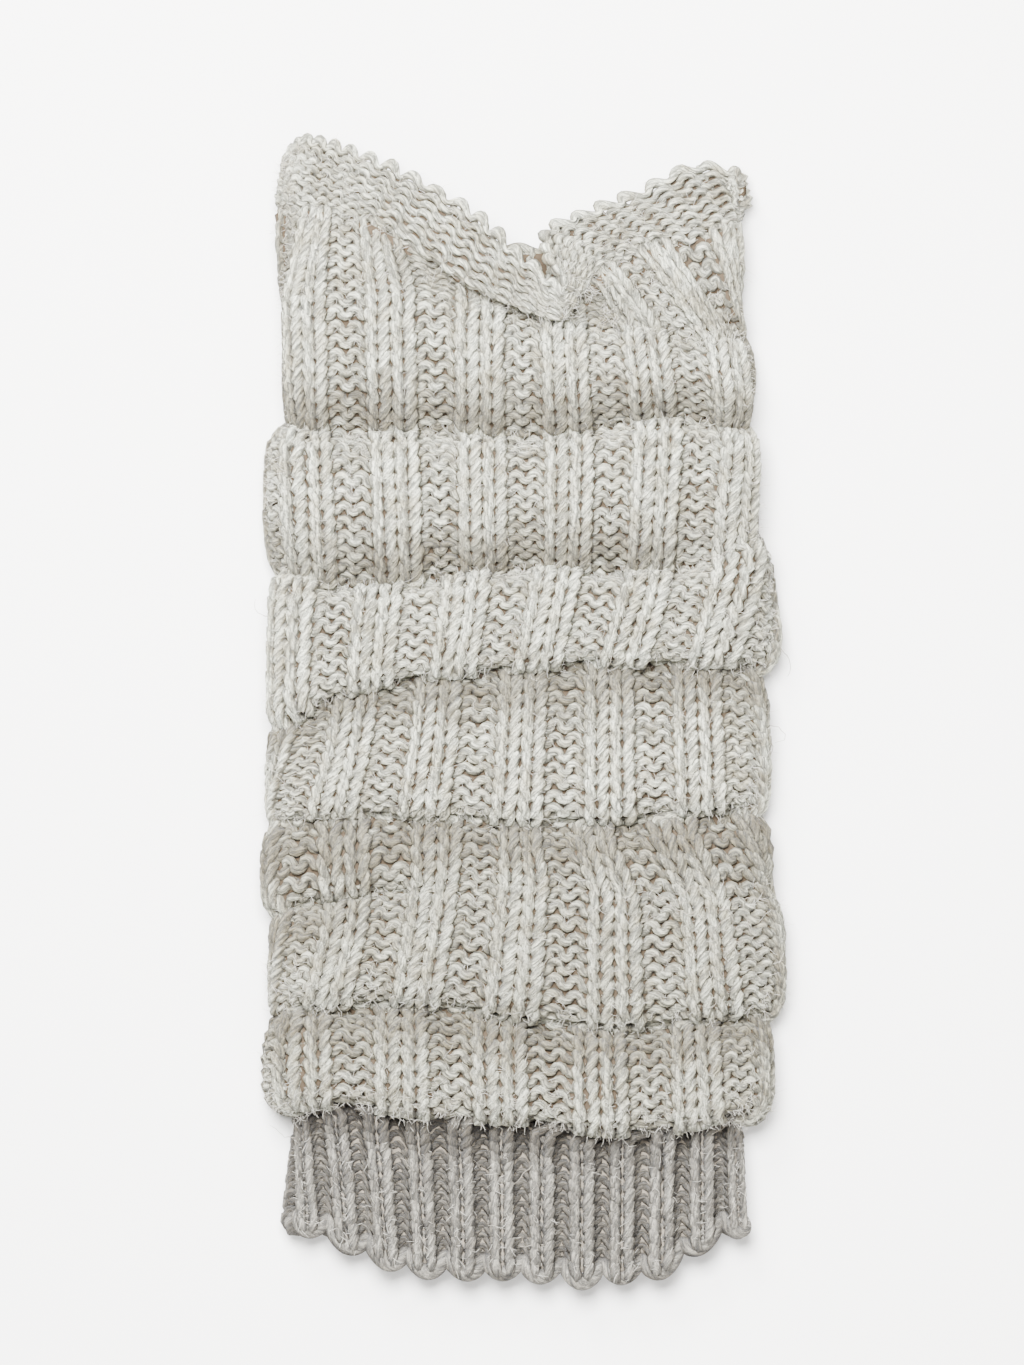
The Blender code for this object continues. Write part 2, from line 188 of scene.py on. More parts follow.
MOUTH = (
    Mouth(-19.0, (-50.0, 141.0, 3.2), (-50.0, 147.0, 3.0), (-50.0, 155.5, 3.6)),
    Mouth(-16.8, (-69.0, 146.0, 5.0), (-70.0, 153.0, 5.0), (-69.5, 160.0, 5.5)),
    Mouth(-15.0, (-73.8, 147.0, 9.5), (-74.4, 154.3, 9.0), (-72.8, 162.5, 8.5)),
    Mouth(-12.2, (-69.5, 147.3, 18.0), (-70.5, 154.3, 17.0), (-66.3, 170.0, 13.5)),
    Mouth(-10.0, (-60.5, 146.8, 21.0), (-61.0, 153.5, 20.5), (-58.0, 168.5, 15.5)),
    Mouth(-6.0, (-43.0, 141.5, 21.5), (-41.0, 147.0, 23.5), (-35.5, 160.3, 18.5)),
    Mouth(-3.0, (-22.5, 127.5, 21.5), (-21.0, 131.5, 26.0), (-14.5, 147.5, 24.0)),
    Mouth(0.0, (-3.5, 118.5, 21.0), (-1.5, 118.8, 26.5), (1.5, 132.0, 27.5)),
    Mouth(2.2, (13.0, 115.0, 20.5), (14.5, 113.8, 26.5), (13.5, 123.0, 29.0)),
    Mouth(4.0, (20.0, 121.5, 19.5), (19.5, 122.0, 25.0), (14.5, 128.5, 29.0)),
    Mouth(6.0, (26.0, 128.5, 19.0), (22.0, 131.0, 23.5), (10.5, 135.5, 27.5)),
    Mouth(8.0, (33.0, 133.0, 19.5), (27.0, 136.5, 22.0), (10.5, 142.5, 24.5)),
    Mouth(10.0, (40.5, 136.8, 20.0), (35.0, 142.0, 21.0), (23.0, 148.0, 21.0)),
    Mouth(12.0, (51.0, 140.0, 19.5), (47.0, 147.0, 19.5), (37.0, 154.0, 17.5)),
    Mouth(14.0, (63.5, 142.5, 16.0), (61.5, 150.0, 16.0), (53.0, 162.0, 14.0)),
    Mouth(15.6, (69.2, 144.2, 9.5), (69.3, 151.0, 9.5), (67.2, 160.0, 8.5)),
    Mouth(17.2, (66.0, 144.8, 4.8), (65.5, 150.0, 4.8), (62.5, 155.0, 4.8)),
    Mouth(20.0, (50.0, 142.5, 3.2), (50.0, 147.0, 3.0), (49.0, 152.5, 3.6)),
    Mouth(24.5, (0.0, 124.5, 3.2), (0.5, 130.0, 3.0), (1.0, 137.0, 4.0)),
)


def hermite(places: Array, values: Array, at: Array) -> Array:
    """A smooth curve through the values.

    Args:
        places: where the values stand, rising.
        values: one value, or one row of values, for each place.
        at: where to read the curve, anywhere between the first and the last place.

    Returns:
        The curve's values at those places.
    """
    places = np.asarray(places, float)
    values = np.asarray(values, float)
    slopes = np.gradient(values, places, axis=0)
    i = np.clip(np.searchsorted(places, at) - 1, 0, len(places) - 2)
    width = places[i + 1] - places[i]
    t = np.clip((at - places[i]) / width, 0, 1)
    if values.ndim > 1:
        t, width = t[..., None], width[..., None]
    start = (1 + 2 * t) * (1 - t) ** 2 * values[i] + t * (1 - t) ** 2 * width * slopes[i]
    return start + t**2 * (3 - 2 * t) * values[i + 1] + t**2 * (t - 1) * width * slopes[i + 1]


def smooth_step(low: float, high: float, at: Array) -> Array:
    """Rises from 0 at low to 1 at high, level at both ends."""
    t = np.clip((np.asarray(at, float) - low) / (high - low), 0, 1)
    return t * t * (3 - 2 * t)


def unit(vectors: Array) -> Array:
    """The vectors at length 1."""
    return vectors / np.maximum(np.linalg.norm(vectors, axis=-1, keepdims=True), 1e-9)


def linear(hex_colour: str) -> tuple[float, float, float, float]:
    """An sRGB colour such as "#d8d4ca" as linear red, green, blue and alpha.

    Args:
        hex_colour: six hex digits after a #.

    Returns:
        The linear colour, fully opaque.
    """
    parts = [int(hex_colour[i : i + 2], 16) / 255 for i in (1, 3, 5)]
    red, green, blue = (c / 12.92 if c <= 0.04045 else ((c + 0.055) / 1.055) ** 2.4 for c in parts)
    return red, green, blue, 1.0


@dataclass(frozen=True)
class Section:
    """A flattened section of the tube: half widths, levels, and the way round it."""

    around: float
    half_left: Array
    half_right: Array
    front: Array
    back: Array

    def at(self, place: Array) -> tuple[Array, Array]:
        """The X and Z of places round the section.

        Args:
            place: millimetres round the tube from the middle of the front.

        Returns:
            X and Z in millimetres.
        """
        place = (place + self.around / 2) % self.around - self.around / 2
        away, side = np.abs(place), np.where(place < 0, -1.0, 1.0)
        arc = self.around / 2 - 2 * STRAIGHT
        half = np.where(place < 0, self.half_left, self.half_right)
        turn = np.pi * (0.5 - np.clip((away - STRAIGHT) / arc, 0, 1))
        lift = np.where(turn > 0, self.front - SIDE_LEVEL, SIDE_LEVEL - self.back)
        round_x = side * (STRAIGHT + (half - STRAIGHT) * np.cos(turn))
        back_x = side * (self.around / 2 - away)
        x = np.where(away < STRAIGHT, place, np.where(away > STRAIGHT + arc, back_x, round_x))
        crown = np.where(turn > 0, 1 - CROWN * np.clip(x / STRAIGHT, -1, 1) ** 2, 1.0)
        return x, SIDE_LEVEL + lift * np.sin(turn) * crown


def rib_offset(stitch: Array) -> Array:
    """Stitches from the middle of the nearest wide knit rib, below zero on its left."""
    return stitch % RIB_REPEAT - 2


def leg_place(stitch: Array) -> Array:
    """Millimetres round the leg of a stitch: two wide knit stitches, then two narrow purl ones.

    Args:
        stitch: stitches round the tube from the middle of the front.

    Returns:
        The same places in millimetres.
    """
    off = rib_offset(stitch)
    away = np.abs(off)
    warp = np.sign(off) * (np.minimum(away, 1) * LEG_KNIT + np.maximum(away - 1, 0) * LEG_PURL)
    return (stitch - off) * LEG_AROUND / STITCHES + RIB_CENTRE + warp


def cuff_place(stitch: Array) -> Array:
    """Millimetres round the cuff of a stitch: a wide knit stitch, then a narrow purl one.

    Args:
        stitch: stitches round the tube from the middle of the front.

    Returns:
        The same places in millimetres.
    """
    off = (stitch - 0.5 + 1) % 2 - 1
    away = np.abs(off)
    warp = np.sign(off) * (np.minimum(away, 0.5) * CUFF_KNIT + np.maximum(away - 0.5, 0) * CUFF_PURL)
    return (stitch - off) * CUFF_AROUND / STITCHES + RIB_CENTRE + warp


def knit_share(pattern: Pattern, stitch: Array) -> Array:
    """1 where a pattern shows knit stitches at a place round the tube, and 0 where it shows purl.

    Args:
        pattern: the stitch pattern.
        stitch: stitches round the tube from the middle of the front.

    Returns:
        The share of knit, which changes softly at a rib's edge.
    """
    if pattern is Pattern.WIDE_RIB:
        return 1 - smooth_step(0.82, 1.18, np.abs(rib_offset(stitch)))
    if pattern is Pattern.NARROW_RIB:
        return 1 - smooth_step(0.3, 0.54, np.abs((stitch - 0.5 + 1) % 2 - 1))
    return np.zeros_like(stitch)


class Strand(NamedTuple):
    """A length of yarn, point by point, in millimetres.

    Beside its middle line and radius it holds the cloth's outward direction, the height over the
    cloth and how open the place is to the light, from 0 in a fold to 1.
    """

    line: Array
    radius: Array
    outward: Array
    lift: Array
    open: Array


class LaidForm:
    """The form of the laid garment, worked out section by section and kept as one grid.

    A row of the grid is a quarter of a knitted row and a column an eighth of a stitch.
    """

    def __init__(self) -> None:
        """Works out the band, the leg with its folds and the cuff, from top to bottom."""
        self.columns = np.arange(STITCHES * GRID_PER_STITCH) / GRID_PER_STITCH - STITCHES / 2
        band = self._band()
        parts = [self._resampled(band, BAND_ROWS), self._resampled(self._collar(band[-1]), COLLAR_ROWS)[1:]]
        roll_rows = []
        for index in range(len(ROLLS)):
            path = self._roll(index)
            roll_rows.append(max(4, round(self._front_length(path) / ROW_PITCH)))
            parts.append(self._resampled(path, roll_rows[-1])[1:])
        parts.append(self._resampled(self._cuff(), CUFF_ROWS)[1:])
        self.crease_rows = BAND_ROWS + COLLAR_ROWS + np.cumsum([0, *roll_rows])
        self.rows = int(self.crease_rows[-1]) + CUFF_ROWS
        self.grid = self._eased(np.concatenate(parts))
        self.normals = self._facing(self.grid)
        self.room = self._room(self.grid)
        LOG.info("rows: band %d, collar %d, tiers %s, cuff %d", BAND_ROWS, COLLAR_ROWS, roll_rows, CUFF_ROWS)

    @staticmethod
    def _round_tube(places: tuple[float, ...], values: tuple[float, ...], place: Array) -> Array:
        """A front table's value at a place round the tube, straight between its ends behind.

        Args:
            places: where the table is read off, in millimetres round the tube.
            values: the table's value at each.
            place: where to read it, in millimetres round the tube.

        Returns:
            The value at each place.
        """
        place = (place + LEG_AROUND / 2) % LEG_AROUND - LEG_AROUND / 2
        front = hermite(places, values, np.clip(place, places[0], places[-1]))
        behind = np.sign(place) * (LEG_AROUND / 2 - np.abs(place))
        share = (behind + STRAIGHT) / (2 * STRAIGHT)
        back = values[0] + (values[-1] - values[0]) * share
        arc = LEG_AROUND / 2 - 2 * STRAIGHT
        mix = smooth_step(STRAIGHT + arc * 0.5, STRAIGHT + arc, np.abs(place))
        return front + (back - front) * mix

    def _depth(self, index: int, place: Array) -> Array:
        """How deep a crease is at a place, from 0 to 1."""
        return np.clip(self._round_tube(ACROSS, FOLDS[index].depth, place), 0, 1)

    def _fold_levels(self, index: int, place: Array, inset: float) -> tuple[Array, Array]:
        """The front's and the back's level at a crease.

        Args:
            index: the crease, counted from the top.
            place: millimetres round the tube.
            inset: how far inside the outer form the levels lie, in millimetres.

        Returns:
            The two levels in millimetres.
        """
        crests = (ROLLS[max(index - 1, 0)].crest + ROLLS[min(index, len(ROLLS) - 1)].crest) / 2
        depth = self._depth(index, place)
        front = crests - depth * (crests - FOLD_LEVEL) - inset
        return front, BACK_LEVEL + depth * (BACK_FOLD_LEVEL - BACK_LEVEL) + inset

    def _share(self, index: int, place: Array) -> Array:
        """How far the cloth beside a crease reaches over it.

        Args:
            index: the crease, counted from the top.
            place: millimetres round the tube.

        Returns:
            A share from 0 to 1, less at the back and least round the sides.
        """
        place = (place + LEG_AROUND / 2) % LEG_AROUND - LEG_AROUND / 2
        arc = LEG_AROUND / 2 - 2 * STRAIGHT
        behind = np.clip((np.abs(place) - STRAIGHT) / arc, 0, 1)
        dip = 1 - SIDE_DIP * np.sin(np.pi * behind) ** 2
        return self._depth(index, place) * (1 - (1 - BACK_SHARE) * behind) * dip

    @staticmethod
    def _fullness(lean: float) -> float:
        """How square the cloth turns down into a crease it leans over, or slopes under one."""
        plain, square, sloping = 3.4, 6.0, 2.3
        return plain * (square / plain) ** lean if lean > 0 else plain * (sloping / plain) ** -lean

    def leg_point(self, stitch: Array, index: int, turn: float, inset: float) -> Array:
        """Points of the leg.

        Args:
            stitch: stitches round the tube from the middle of the front.
            index: the roll, counted from the top.
            turn: 0 at the crease above the roll, 90 on its crest and 180 at the crease below.
            inset: how far inside the outer form the points lie, in millimetres.

        Returns:
            X, Y and Z in millimetres, a row for each stitch.
        """
        roll, above, below = ROLLS[index], FOLDS[index], FOLDS[index + 1]
        angle = math.radians(turn)
        rise, slope = math.sin(angle), math.cos(angle)
        full = self._fullness(-above.lean) if slope > 0 else self._fullness(below.lean)
        down = (1 - math.copysign(abs(slope) ** (2 / full), slope)) / 2
        plain = leg_place(stitch)
        top = self._round_tube(EDGE_MIDDLE_EDGE, roll.drift_top, plain)
        bottom = self._round_tube(EDGE_MIDDLE_EDGE, roll.drift_bottom, plain)
        place = plain + top + (bottom - top) * down
        share_above, share_below = self._share(index, place), self._share(index + 1, place)
        tucked = UNDERCUT * (1 - rise)
        y_above = self._round_tube(ACROSS, above.y, place) + above.lean * tucked * share_above
        y_below = self._round_tube(ACROSS, below.y, place) + below.lean * tucked * share_below
        y = y_above + (y_below - y_above) * down
        share = share_above if slope > 0 else share_below
        y = y - math.copysign(1.0, slope) * inset * share * math.sqrt(abs(slope)) * min(1.0, 8 * rise)
        low, high = self._fold_levels(index, place, inset)
        next_low, next_high = self._fold_levels(index + 1, place, inset)
        low, high = low + (next_low - low) * down, high + (next_high - high) * down
        front = low + (roll.crest - inset - low) * rise
        back = high + (BACK_LEVEL + inset - high) * rise
        left = above.half_left + (below.half_left - above.half_left) * down
        right = above.half_right + (below.half_right - above.half_right) * down
        left = left + (roll.half_left - left) * rise - inset
        right = right + (roll.half_right - right) * rise - inset
        x, z = Section(LEG_AROUND, left, right, front, back).at(place)
        return np.stack([x, y, z], axis=-1)

    def band_point(self, stitch: Array, down: float) -> Array:
        """Points of the top band's outside.

        Args:
            stitch: stitches round the tube from the middle of the front.
            down: 0 at the band's seam and 1 at its free edge.

        Returns:
            X, Y and Z in millimetres, a row for each stitch.
        """
        stitches = np.array([row.stitch for row in MOUTH])
        stitches = np.concatenate([stitches - STITCHES, stitches, stitches + STITCHES])
        seam, rim, edge = (
            hermite(stitches, np.tile(np.array([getattr(row, name) for row in MOUTH]), (3, 1)), stitch)
            for name in ("seam", "rim", "edge")
        )
        return (
            seam * (1 - down) * (1 - 2 * down) + rim * 4 * down * (1 - down) + edge * down * (2 * down - 1)
        )

    def _band(self) -> Array:
        """The band's path from its edge to its seam, set inside the outer form.

        Returns:
            The path's points by step and column.
        """
        shares = np.linspace(1, 0, 25)
        outer = np.stack([self.band_point(self.columns, share) for share in shares])
        return outer - self._facing(outer) * BAND_INSET

    def _collar(self, seam: Array) -> Array:
        """The path from the band's seam to the first crease, tucked under where it is short.

        Args:
            seam: the band's seam, a point for each column.

        Returns:
            The path's points by step and column.
        """
        root = self.leg_point(self.columns, 0, 0.0, CLOTH_INSET)
        turns = np.radians(np.linspace(0, 90, 20))
        ahead, up = 1 - np.cos(turns), np.sin(turns)
        short = 1 - smooth_step(6.0, 24.0, np.linalg.norm(seam - root, axis=-1))
        tuck = short[:, None] * np.array([0.0, 8.0, -2.5])
        path = [
            root + (seam - root) * np.array([a, a, u]) + tuck * math.sin(2 * t)
            for a, u, t in zip(ahead, up, turns)
        ]
        return np.stack(path[::-1])

    def _roll(self, index: int) -> Array:
        """The path over one roll, from crease to crease."""
        turns = np.linspace(0, 180, 61)
        return np.stack([self.leg_point(self.columns, index, float(t), CLOTH_INSET) for t in turns])

    def _cuff(self) -> Array:
        """The path from the last crease to the cuff's cast-on edge.

        Returns:
            The path's points by step and column.
        """
        start = self.leg_point(self.columns, len(ROLLS) - 1, 180.0, CLOTH_INSET)
        place = cuff_place(self.columns) + ROLLS[-1].drift_bottom[1]
        leaning = 1 - smooth_step(-60.0, 10.0, place)
        y = self._round_tube(ACROSS, CUFF_EDGE, place * LEG_AROUND / CUFF_AROUND)
        path = []
        for down in np.linspace(0, 1, 30):
            half = float(hermite((0.0, 0.5, 1.0), CUFF_HALF_WIDTHS, np.array(down))) - CLOTH_INSET
            section = Section(CUFF_AROUND, half, half, CUFF_LEVEL - CLOTH_INSET, BACK_LEVEL + CLOTH_INSET)
            x, z = section.at(place + CUFF_LEAN * (down - 0.6) * leaning)
            sideways, settle = float(smooth_step(0.0, 0.07, down)), float(smooth_step(0.0, 0.3, down))
            point = start + (np.stack([x, y, z], axis=-1) - start) * np.array([sideways, 0.0, settle])
            lobe = LOBE * np.cos(np.pi * (self.columns - 0.5)) * float(smooth_step(0.84, 1.0, down))
            point[:, 1] = start[:, 1] + (y - start[:, 1]) * down - lobe
            path.append(point)
        return np.stack(path)

    def _front_length(self, path: Array) -> float:
        """The length of a path down the middle of the front.

        Args:
            path: points by step down the tube and column.

        Returns:
            The length in millimetres.
        """
        middle = len(self.columns) // 2
        band = path[:, middle - 60 : middle + 60]
        return float(np.linalg.norm(np.diff(band, axis=0), axis=-1).sum(axis=0).mean())

    @staticmethod
    def _resampled(path: Array, rows: int) -> Array:
        """The path at even steps of its own length in every column.

        Args:
            path: points by step down the tube and column.
            rows: knitted rows that the path holds.

        Returns:
            The points at a quarter of a row apart.
        """
        steps = np.linalg.norm(np.diff(path, axis=0), axis=-1)
        length = np.concatenate([np.zeros((1, path.shape[1])), np.cumsum(steps, axis=0)])
        length /= length[-1]
        wanted = np.linspace(0, 1, rows * GRID_PER_ROW + 1)
        out = np.empty((len(wanted), path.shape[1], 3))
        for column in range(path.shape[1]):
            for axis in range(3):
                out[:, column, axis] = np.interp(wanted, length[:, column], path[:, column, axis])
        return out

    @staticmethod
    def _eased(grid: Array) -> Array:
        """The grid with its sharpest kinks eased, and its two ends kept.

        Args:
            grid: the form's points.

        Returns:
            The eased points.
        """
        for _ in range(3):
            inner = (grid[:-2] + 2 * grid[1:-1] + grid[2:]) / 4
            grid = np.concatenate([grid[:1], inner, grid[-1:]])
            grid = (np.roll(grid, 1, axis=1) + 4 * grid + np.roll(grid, -1, axis=1)) / 6
        return grid

    @staticmethod
    def _facing(grid: Array) -> Array:
        """The outward direction at each grid point.

        Args:
            grid: the form's points.

        Returns:
            The directions, at length 1.
        """
        across = np.roll(grid, -1, axis=1) - np.roll(grid, 1, axis=1)
        down = np.gradient(grid, axis=0)
        return unit(np.cross(down, across))

    @staticmethod
    def _room(grid: Array) -> Array:
        """The room for yarn at each grid point, in any direction and across the stitches.

        Args:
            grid: the form's points.

        Returns:
            The two measures, 1 where the cloth lies open and less where it is tight.
        """
        across = (np.roll(grid, -1, axis=1) - np.roll(grid, 1, axis=1)) * GRID_PER_STITCH / 2
        down = np.gradient(grid, axis=0) * GRID_PER_ROW
        area = np.linalg.norm(np.cross(down, across), axis=-1)
        pitch = area / np.maximum(np.linalg.norm(across, axis=-1), 1e-6) / ROW_PITCH
        width = area / np.maximum(np.linalg.norm(down, axis=-1), 1e-6) / STITCH_PITCH
        room = np.clip(np.stack([np.minimum(pitch, width), width]), 0.55, 1.06)
        for _ in range(4):
            room = (np.roll(room, 1, axis=2) + 2 * room + np.roll(room, -1, axis=2)) / 4
            inner = (room[:, :-2] + 2 * room[:, 1:-1] + room[:, 2:]) / 4
            room = np.concatenate([room[:, :1], inner, room[:, -1:]], axis=1)
        return room

    def open_at(self, row: float, stitch: Array) -> Array:
        """How open a row lies to the light: less in a fold and under the cloth that hangs over it.

        Args:
            row: knitted rows down from the top edge.
            stitch: stitches round the tube from the middle of the front.

        Returns:
            A share from 0 to 1 at each stitch.
        """
        place = leg_place(stitch)
        share = np.ones_like(place)
        for index in range(1, len(FOLDS)):
            below = row - self.crease_rows[index]
            hidden = FOLDS[index].lean if below > 0 else -FOLDS[index].lean
            if hidden > 0:
                start, strength = FOLD_SHADE_START, FOLD_SHADE
                reach = FOLD_SHADE_REACH + FOLD_SHADE_PER_LEAN * hidden
            else:
                start, strength, reach = 0.0, LIP_SHADE, LIP_SHADE_REACH
            shade = 1 - float(smooth_step(start, start + reach, abs(below)))
            shade *= ROOT_SHARE + (1 - ROOT_SHARE) * float(smooth_step(0.0, ROOT_REACH, abs(below)))
            share *= 1 - strength * shade * self._depth(index, place)
        if row < self.crease_rows[-1]:
            lower = self.crease_rows[LOWER_CREASE]
            share *= 1 - LOWER_SHADE * float(smooth_step(lower - 1, lower + 2, row))
        return share

    def room_at(self, row: float, stitch: Array) -> tuple[Array, Array]:
        """The room for yarn along a row, in any direction and across the stitches.

        Args:
            row: knitted rows down from the top edge.
            stitch: stitches round the tube from the middle of the front.

        Returns:
            The two measures at each stitch, 1 where the cloth lies open.
        """
        line = self.room[:, int(np.clip(round(row * GRID_PER_ROW), 0, len(self.grid) - 1))]
        return (
            np.interp(stitch, self.columns, line[0], period=STITCHES),
            np.interp(stitch, self.columns, line[1], period=STITCHES),
        )

    def at(self, row: Array, stitch: Array, lift: Array) -> tuple[Array, Array]:
        """Points on or off the form.

        Args:
            row: knitted rows down from the top edge, or up to one row beyond either edge.
            stitch: stitches round the tube from the middle of the front.
            lift: millimetres outwards from the form.

        Returns:
            X, Y and Z in millimetres, and the outward direction there.
        """
        v = np.clip(row * GRID_PER_ROW, -4, len(self.grid) + 3)
        u = ((stitch + STITCHES / 2) * GRID_PER_STITCH) % len(self.columns)
        i = np.clip(np.floor(v).astype(int), 0, len(self.grid) - 2)
        j = np.floor(u).astype(int) % len(self.columns)
        a, b = (v - i)[..., None], (u - np.floor(u))[..., None]
        k = (j + 1) % len(self.columns)
        corner = [(i, j, (1 - a) * (1 - b)), (i + 1, j, a * (1 - b)), (i, k, (1 - a) * b), (i + 1, k, a * b)]
        point = sum(self.grid[p, q] * share for p, q, share in corner)
        normal = unit(sum(self.normals[p, q] * share for p, q, share in corner))
        return point + normal * np.asarray(lift)[..., None], normal


def add_node(tree: bpy.types.NodeTree, kind: str, settings: dict | None = None, **links) -> bpy.types.Node:
    """Adds a shader node.

    Args:
        tree: the node tree it goes into.
        kind: the node's type name.
        settings: attributes, or input values by name or index.
        links: output sockets to join to inputs, by the input's name with spaces as underscores,
            or by "in" and the input's index.

    Returns:
        The new node.
    """
    node = tree.nodes.new(kind)
    for key, value in (settings or {}).items():
        if isinstance(key, str) and hasattr(node, key):
            setattr(node, key, value)
        else:
            node.inputs[key].default_value = value
    for key, socket in links.items():
        name = int(key[2:]) if key.startswith("in") and key[2:].isdigit() else key.replace("_", " ")
        tree.links.new(socket, node.inputs[name])
    return node


def matt_material(name: str, roughness: float, specular: float) -> bpy.types.Material:
    """A new material with a matt surface, which its finish then gives a colour and a pattern.

    Args:
        name: its name, for the real material.
        roughness: the surface's roughness.
        specular: the strength of its gloss.

    Returns:
        The material.
    """
    material = bpy.data.materials.new(name)
    material.use_nodes = True
    shader = material.node_tree.nodes["Principled BSDF"]
    shader.inputs["Roughness"].default_value = roughness
    shader.inputs["Specular IOR Level"].default_value = specular
    return material


@dataclass(frozen=True)
class WoolYarn:
    """Oatmeal wool, spun in four plies and a little fulled.

    It gives the eye a matt, heathered yarn: paler and darker patches, slanting fibre strokes and a
    few brown flecks. Its colour carries painted shade: darker in the grooves between the plies, and
    turning to a brown depth on its hidden sides, in low places and in the folds.
    """

    name: str
    light: str = "#e3e5d2"
    dark: str = "#b7b299"
    fleck: str = "#6a5a44"
    # Painted shade: the brown that the colour turns to where the yarn lies hidden from the light
    depth: str = "#695c47"

    def build(self) -> bpy.types.Material:
        """The finished material, which reads the yarn's attributes for its twist and its shade.

        Returns:
            The material.
        """
        material = matt_material(self.name, roughness=0.95, specular=0.12)
        tree = material.node_tree
        shader = tree.nodes["Principled BSDF"]
        shader.inputs["Sheen Weight"].default_value = 0.15
        shader.inputs["Sheen Roughness"].default_value = 0.6
        add = partial(add_node, tree)
        place = add("ShaderNodeTexCoord").outputs["Object"]
        spun = add("ShaderNodeAttribute", {"attribute_name": "spun"}).outputs["Vector"]
        # Strokes 1 mm apart round the yarn and 6 mm long, and others half as wide. Real fibres are
        # far finer, and would not show.
        stroke = add("ShaderNodeTexNoise", {"Scale": 1.1, "Detail": 4.0, "Roughness": 0.7}, Vector=spun)
        fine = add("ShaderNodeTexNoise", {"Scale": 2.4, "Detail": 3.0}, Vector=spun)
        stroke, fine = stroke.outputs["Fac"], fine.outputs["Fac"]
        groove = self._grooves(add, spun, stroke)
        shade = add(
            "ShaderNodeMapRange",
            {"From Min": 0.43, "From Max": 0.57, "To Min": 0.38, "To Max": 1.14},
            Value=stroke,
        ).outputs[0]
        grain = add(
            "ShaderNodeMapRange",
            {"From Min": 0.4, "From Max": 0.6, "To Min": 0.68, "To Max": 1.16},
            Value=fine,
        ).outputs[0]
        # The random finer strokes, then painted shade in the grooves between the plies
        for other in (grain, groove):
            shade = add("ShaderNodeMath", {"operation": "MULTIPLY"}, in0=shade, in1=other).outputs[0]
        dressed = add(
            "ShaderNodeMix",
            {"data_type": "RGBA", "blend_type": "MULTIPLY", 0: 1.0},
            in6=self._heather(add, place, spun),
            in7=shade,
        )
        # Painted shade: the colour turns towards the brown depth colour as the painted light share falls, on
        # the yarn's hidden sides, in low places and in folds
        bare = add("ShaderNodeAttribute", {"attribute_name": "bare"}).outputs["Fac"]
        painted_shade_share = add("ShaderNodeMapRange", {"From Min": 1.0, "From Max": 0.0, "To Max": 0.9}, Value=bare)
        shaded = add(
            "ShaderNodeMix",
            {"data_type": "RGBA", "blend_type": "MULTIPLY", 7: linear(self.depth)},
            in0=painted_shade_share.outputs[0],
            in6=dressed.outputs[2],
        )
        tree.links.new(shaded.outputs[2], shader.inputs["Base Color"])
        tree.links.new(self._relief(add, place, stroke, fine, groove), shader.inputs["Normal"])
        return material

    @staticmethod
    def _grooves(add: AddNode, spun: Socket, stroke: Socket) -> Socket:
        """The grooves between the plies, which wander with the strokes, as painted shade: 0.62 in one, and 1
        beside it.

        Args:
            add: adds a node to the material.
            spun: the place on the untwisted yarn.
            stroke: the noise of the fibre strokes.

        Returns:
            The groove's share of light.
        """
        parts = add("ShaderNodeSeparateXYZ", in0=spun)
        around = add(
            "ShaderNodeMath", {"operation": "ARCTAN2"}, in0=parts.outputs[1], in1=parts.outputs[0]
        )
        wander = add("ShaderNodeMath", {"operation": "MULTIPLY", 1: 6.0}, in0=stroke)
        ply = add(
            "ShaderNodeMath",
            {"operation": "MULTIPLY_ADD", 1: float(PLIES)},
            in0=around.outputs[0],
            in2=wander.outputs[0],
        )
        wave = add("ShaderNodeMath", {"operation": "COSINE"}, in0=ply.outputs[0])
        return add(
            "ShaderNodeMapRange",
            {"From Min": -1.0, "From Max": -0.5, "To Min": 0.62},
            Value=wave.outputs[0],
        ).outputs[0]

    @staticmethod
    def _relief(add: AddNode, place: Socket, stroke: Socket, fine: Socket, groove: Socket) -> Socket:
        """The relief of strokes, plies and single fibres, drawn deeper than real so that it shows.

        Args:
            add: adds a node to the material.
            place: the place in the garment.
            stroke: the noise of the fibre strokes.
            fine: the noise of the finer strokes.
            groove: the grooves between the plies.

        Returns:
            The bumped normal.
        """
        # Single fibres 0.7 mm apart, also coarser than real ones
        fibre = add(
            "ShaderNodeTexNoise", {"Scale": 1500.0, "Detail": 3.0, "Roughness": 0.65}, Vector=place
        )
        height = stroke
        for share, socket in ((0.4, fine), (0.25, fibre.outputs["Fac"]), (0.5, groove)):
            height = add(
                "ShaderNodeMath", {"operation": "MULTIPLY_ADD", 1: share}, in0=socket, in2=height
            ).outputs[0]
        return add("ShaderNodeBump", {"Strength": 1.0, "Distance": 0.0017}, Height=height).outputs[0]

    def _heather(self, add: AddNode, place: Socket, spun: Socket) -> Socket:
        """The wool's own colour: patches about 6 mm wide, with brown flecks spun in.

        Args:
            add: adds a node to the material.
            place: the place in the garment.
            spun: the place on the untwisted yarn.

        Returns:
            The colour.
        """
        cloud = add("ShaderNodeTexNoise", {"Scale": 160.0, "Detail": 4.0}, Vector=place)
        tone = add("ShaderNodeMapRange", {"From Min": 0.32, "From Max": 0.62}, Value=cloud.outputs["Fac"])
        base = add(
            "ShaderNodeMix",
            {"data_type": "RGBA", 6: linear(self.dark), 7: linear(self.light)},
            in0=tone.outputs[0],
        )
        spots = add("ShaderNodeTexNoise", {"Scale": 2.4, "Detail": 2.0}, Vector=spun)
        speck = add(
            "ShaderNodeMapRange",
            {"From Min": 0.64, "From Max": 0.74, "To Max": 0.5},
            Value=spots.outputs["Fac"],
        )
        return add(
            "ShaderNodeMix",
            {"data_type": "RGBA", 7: linear(self.fleck)},
            in0=speck.outputs[0],
            in6=base.outputs[2],
        ).outputs[2]


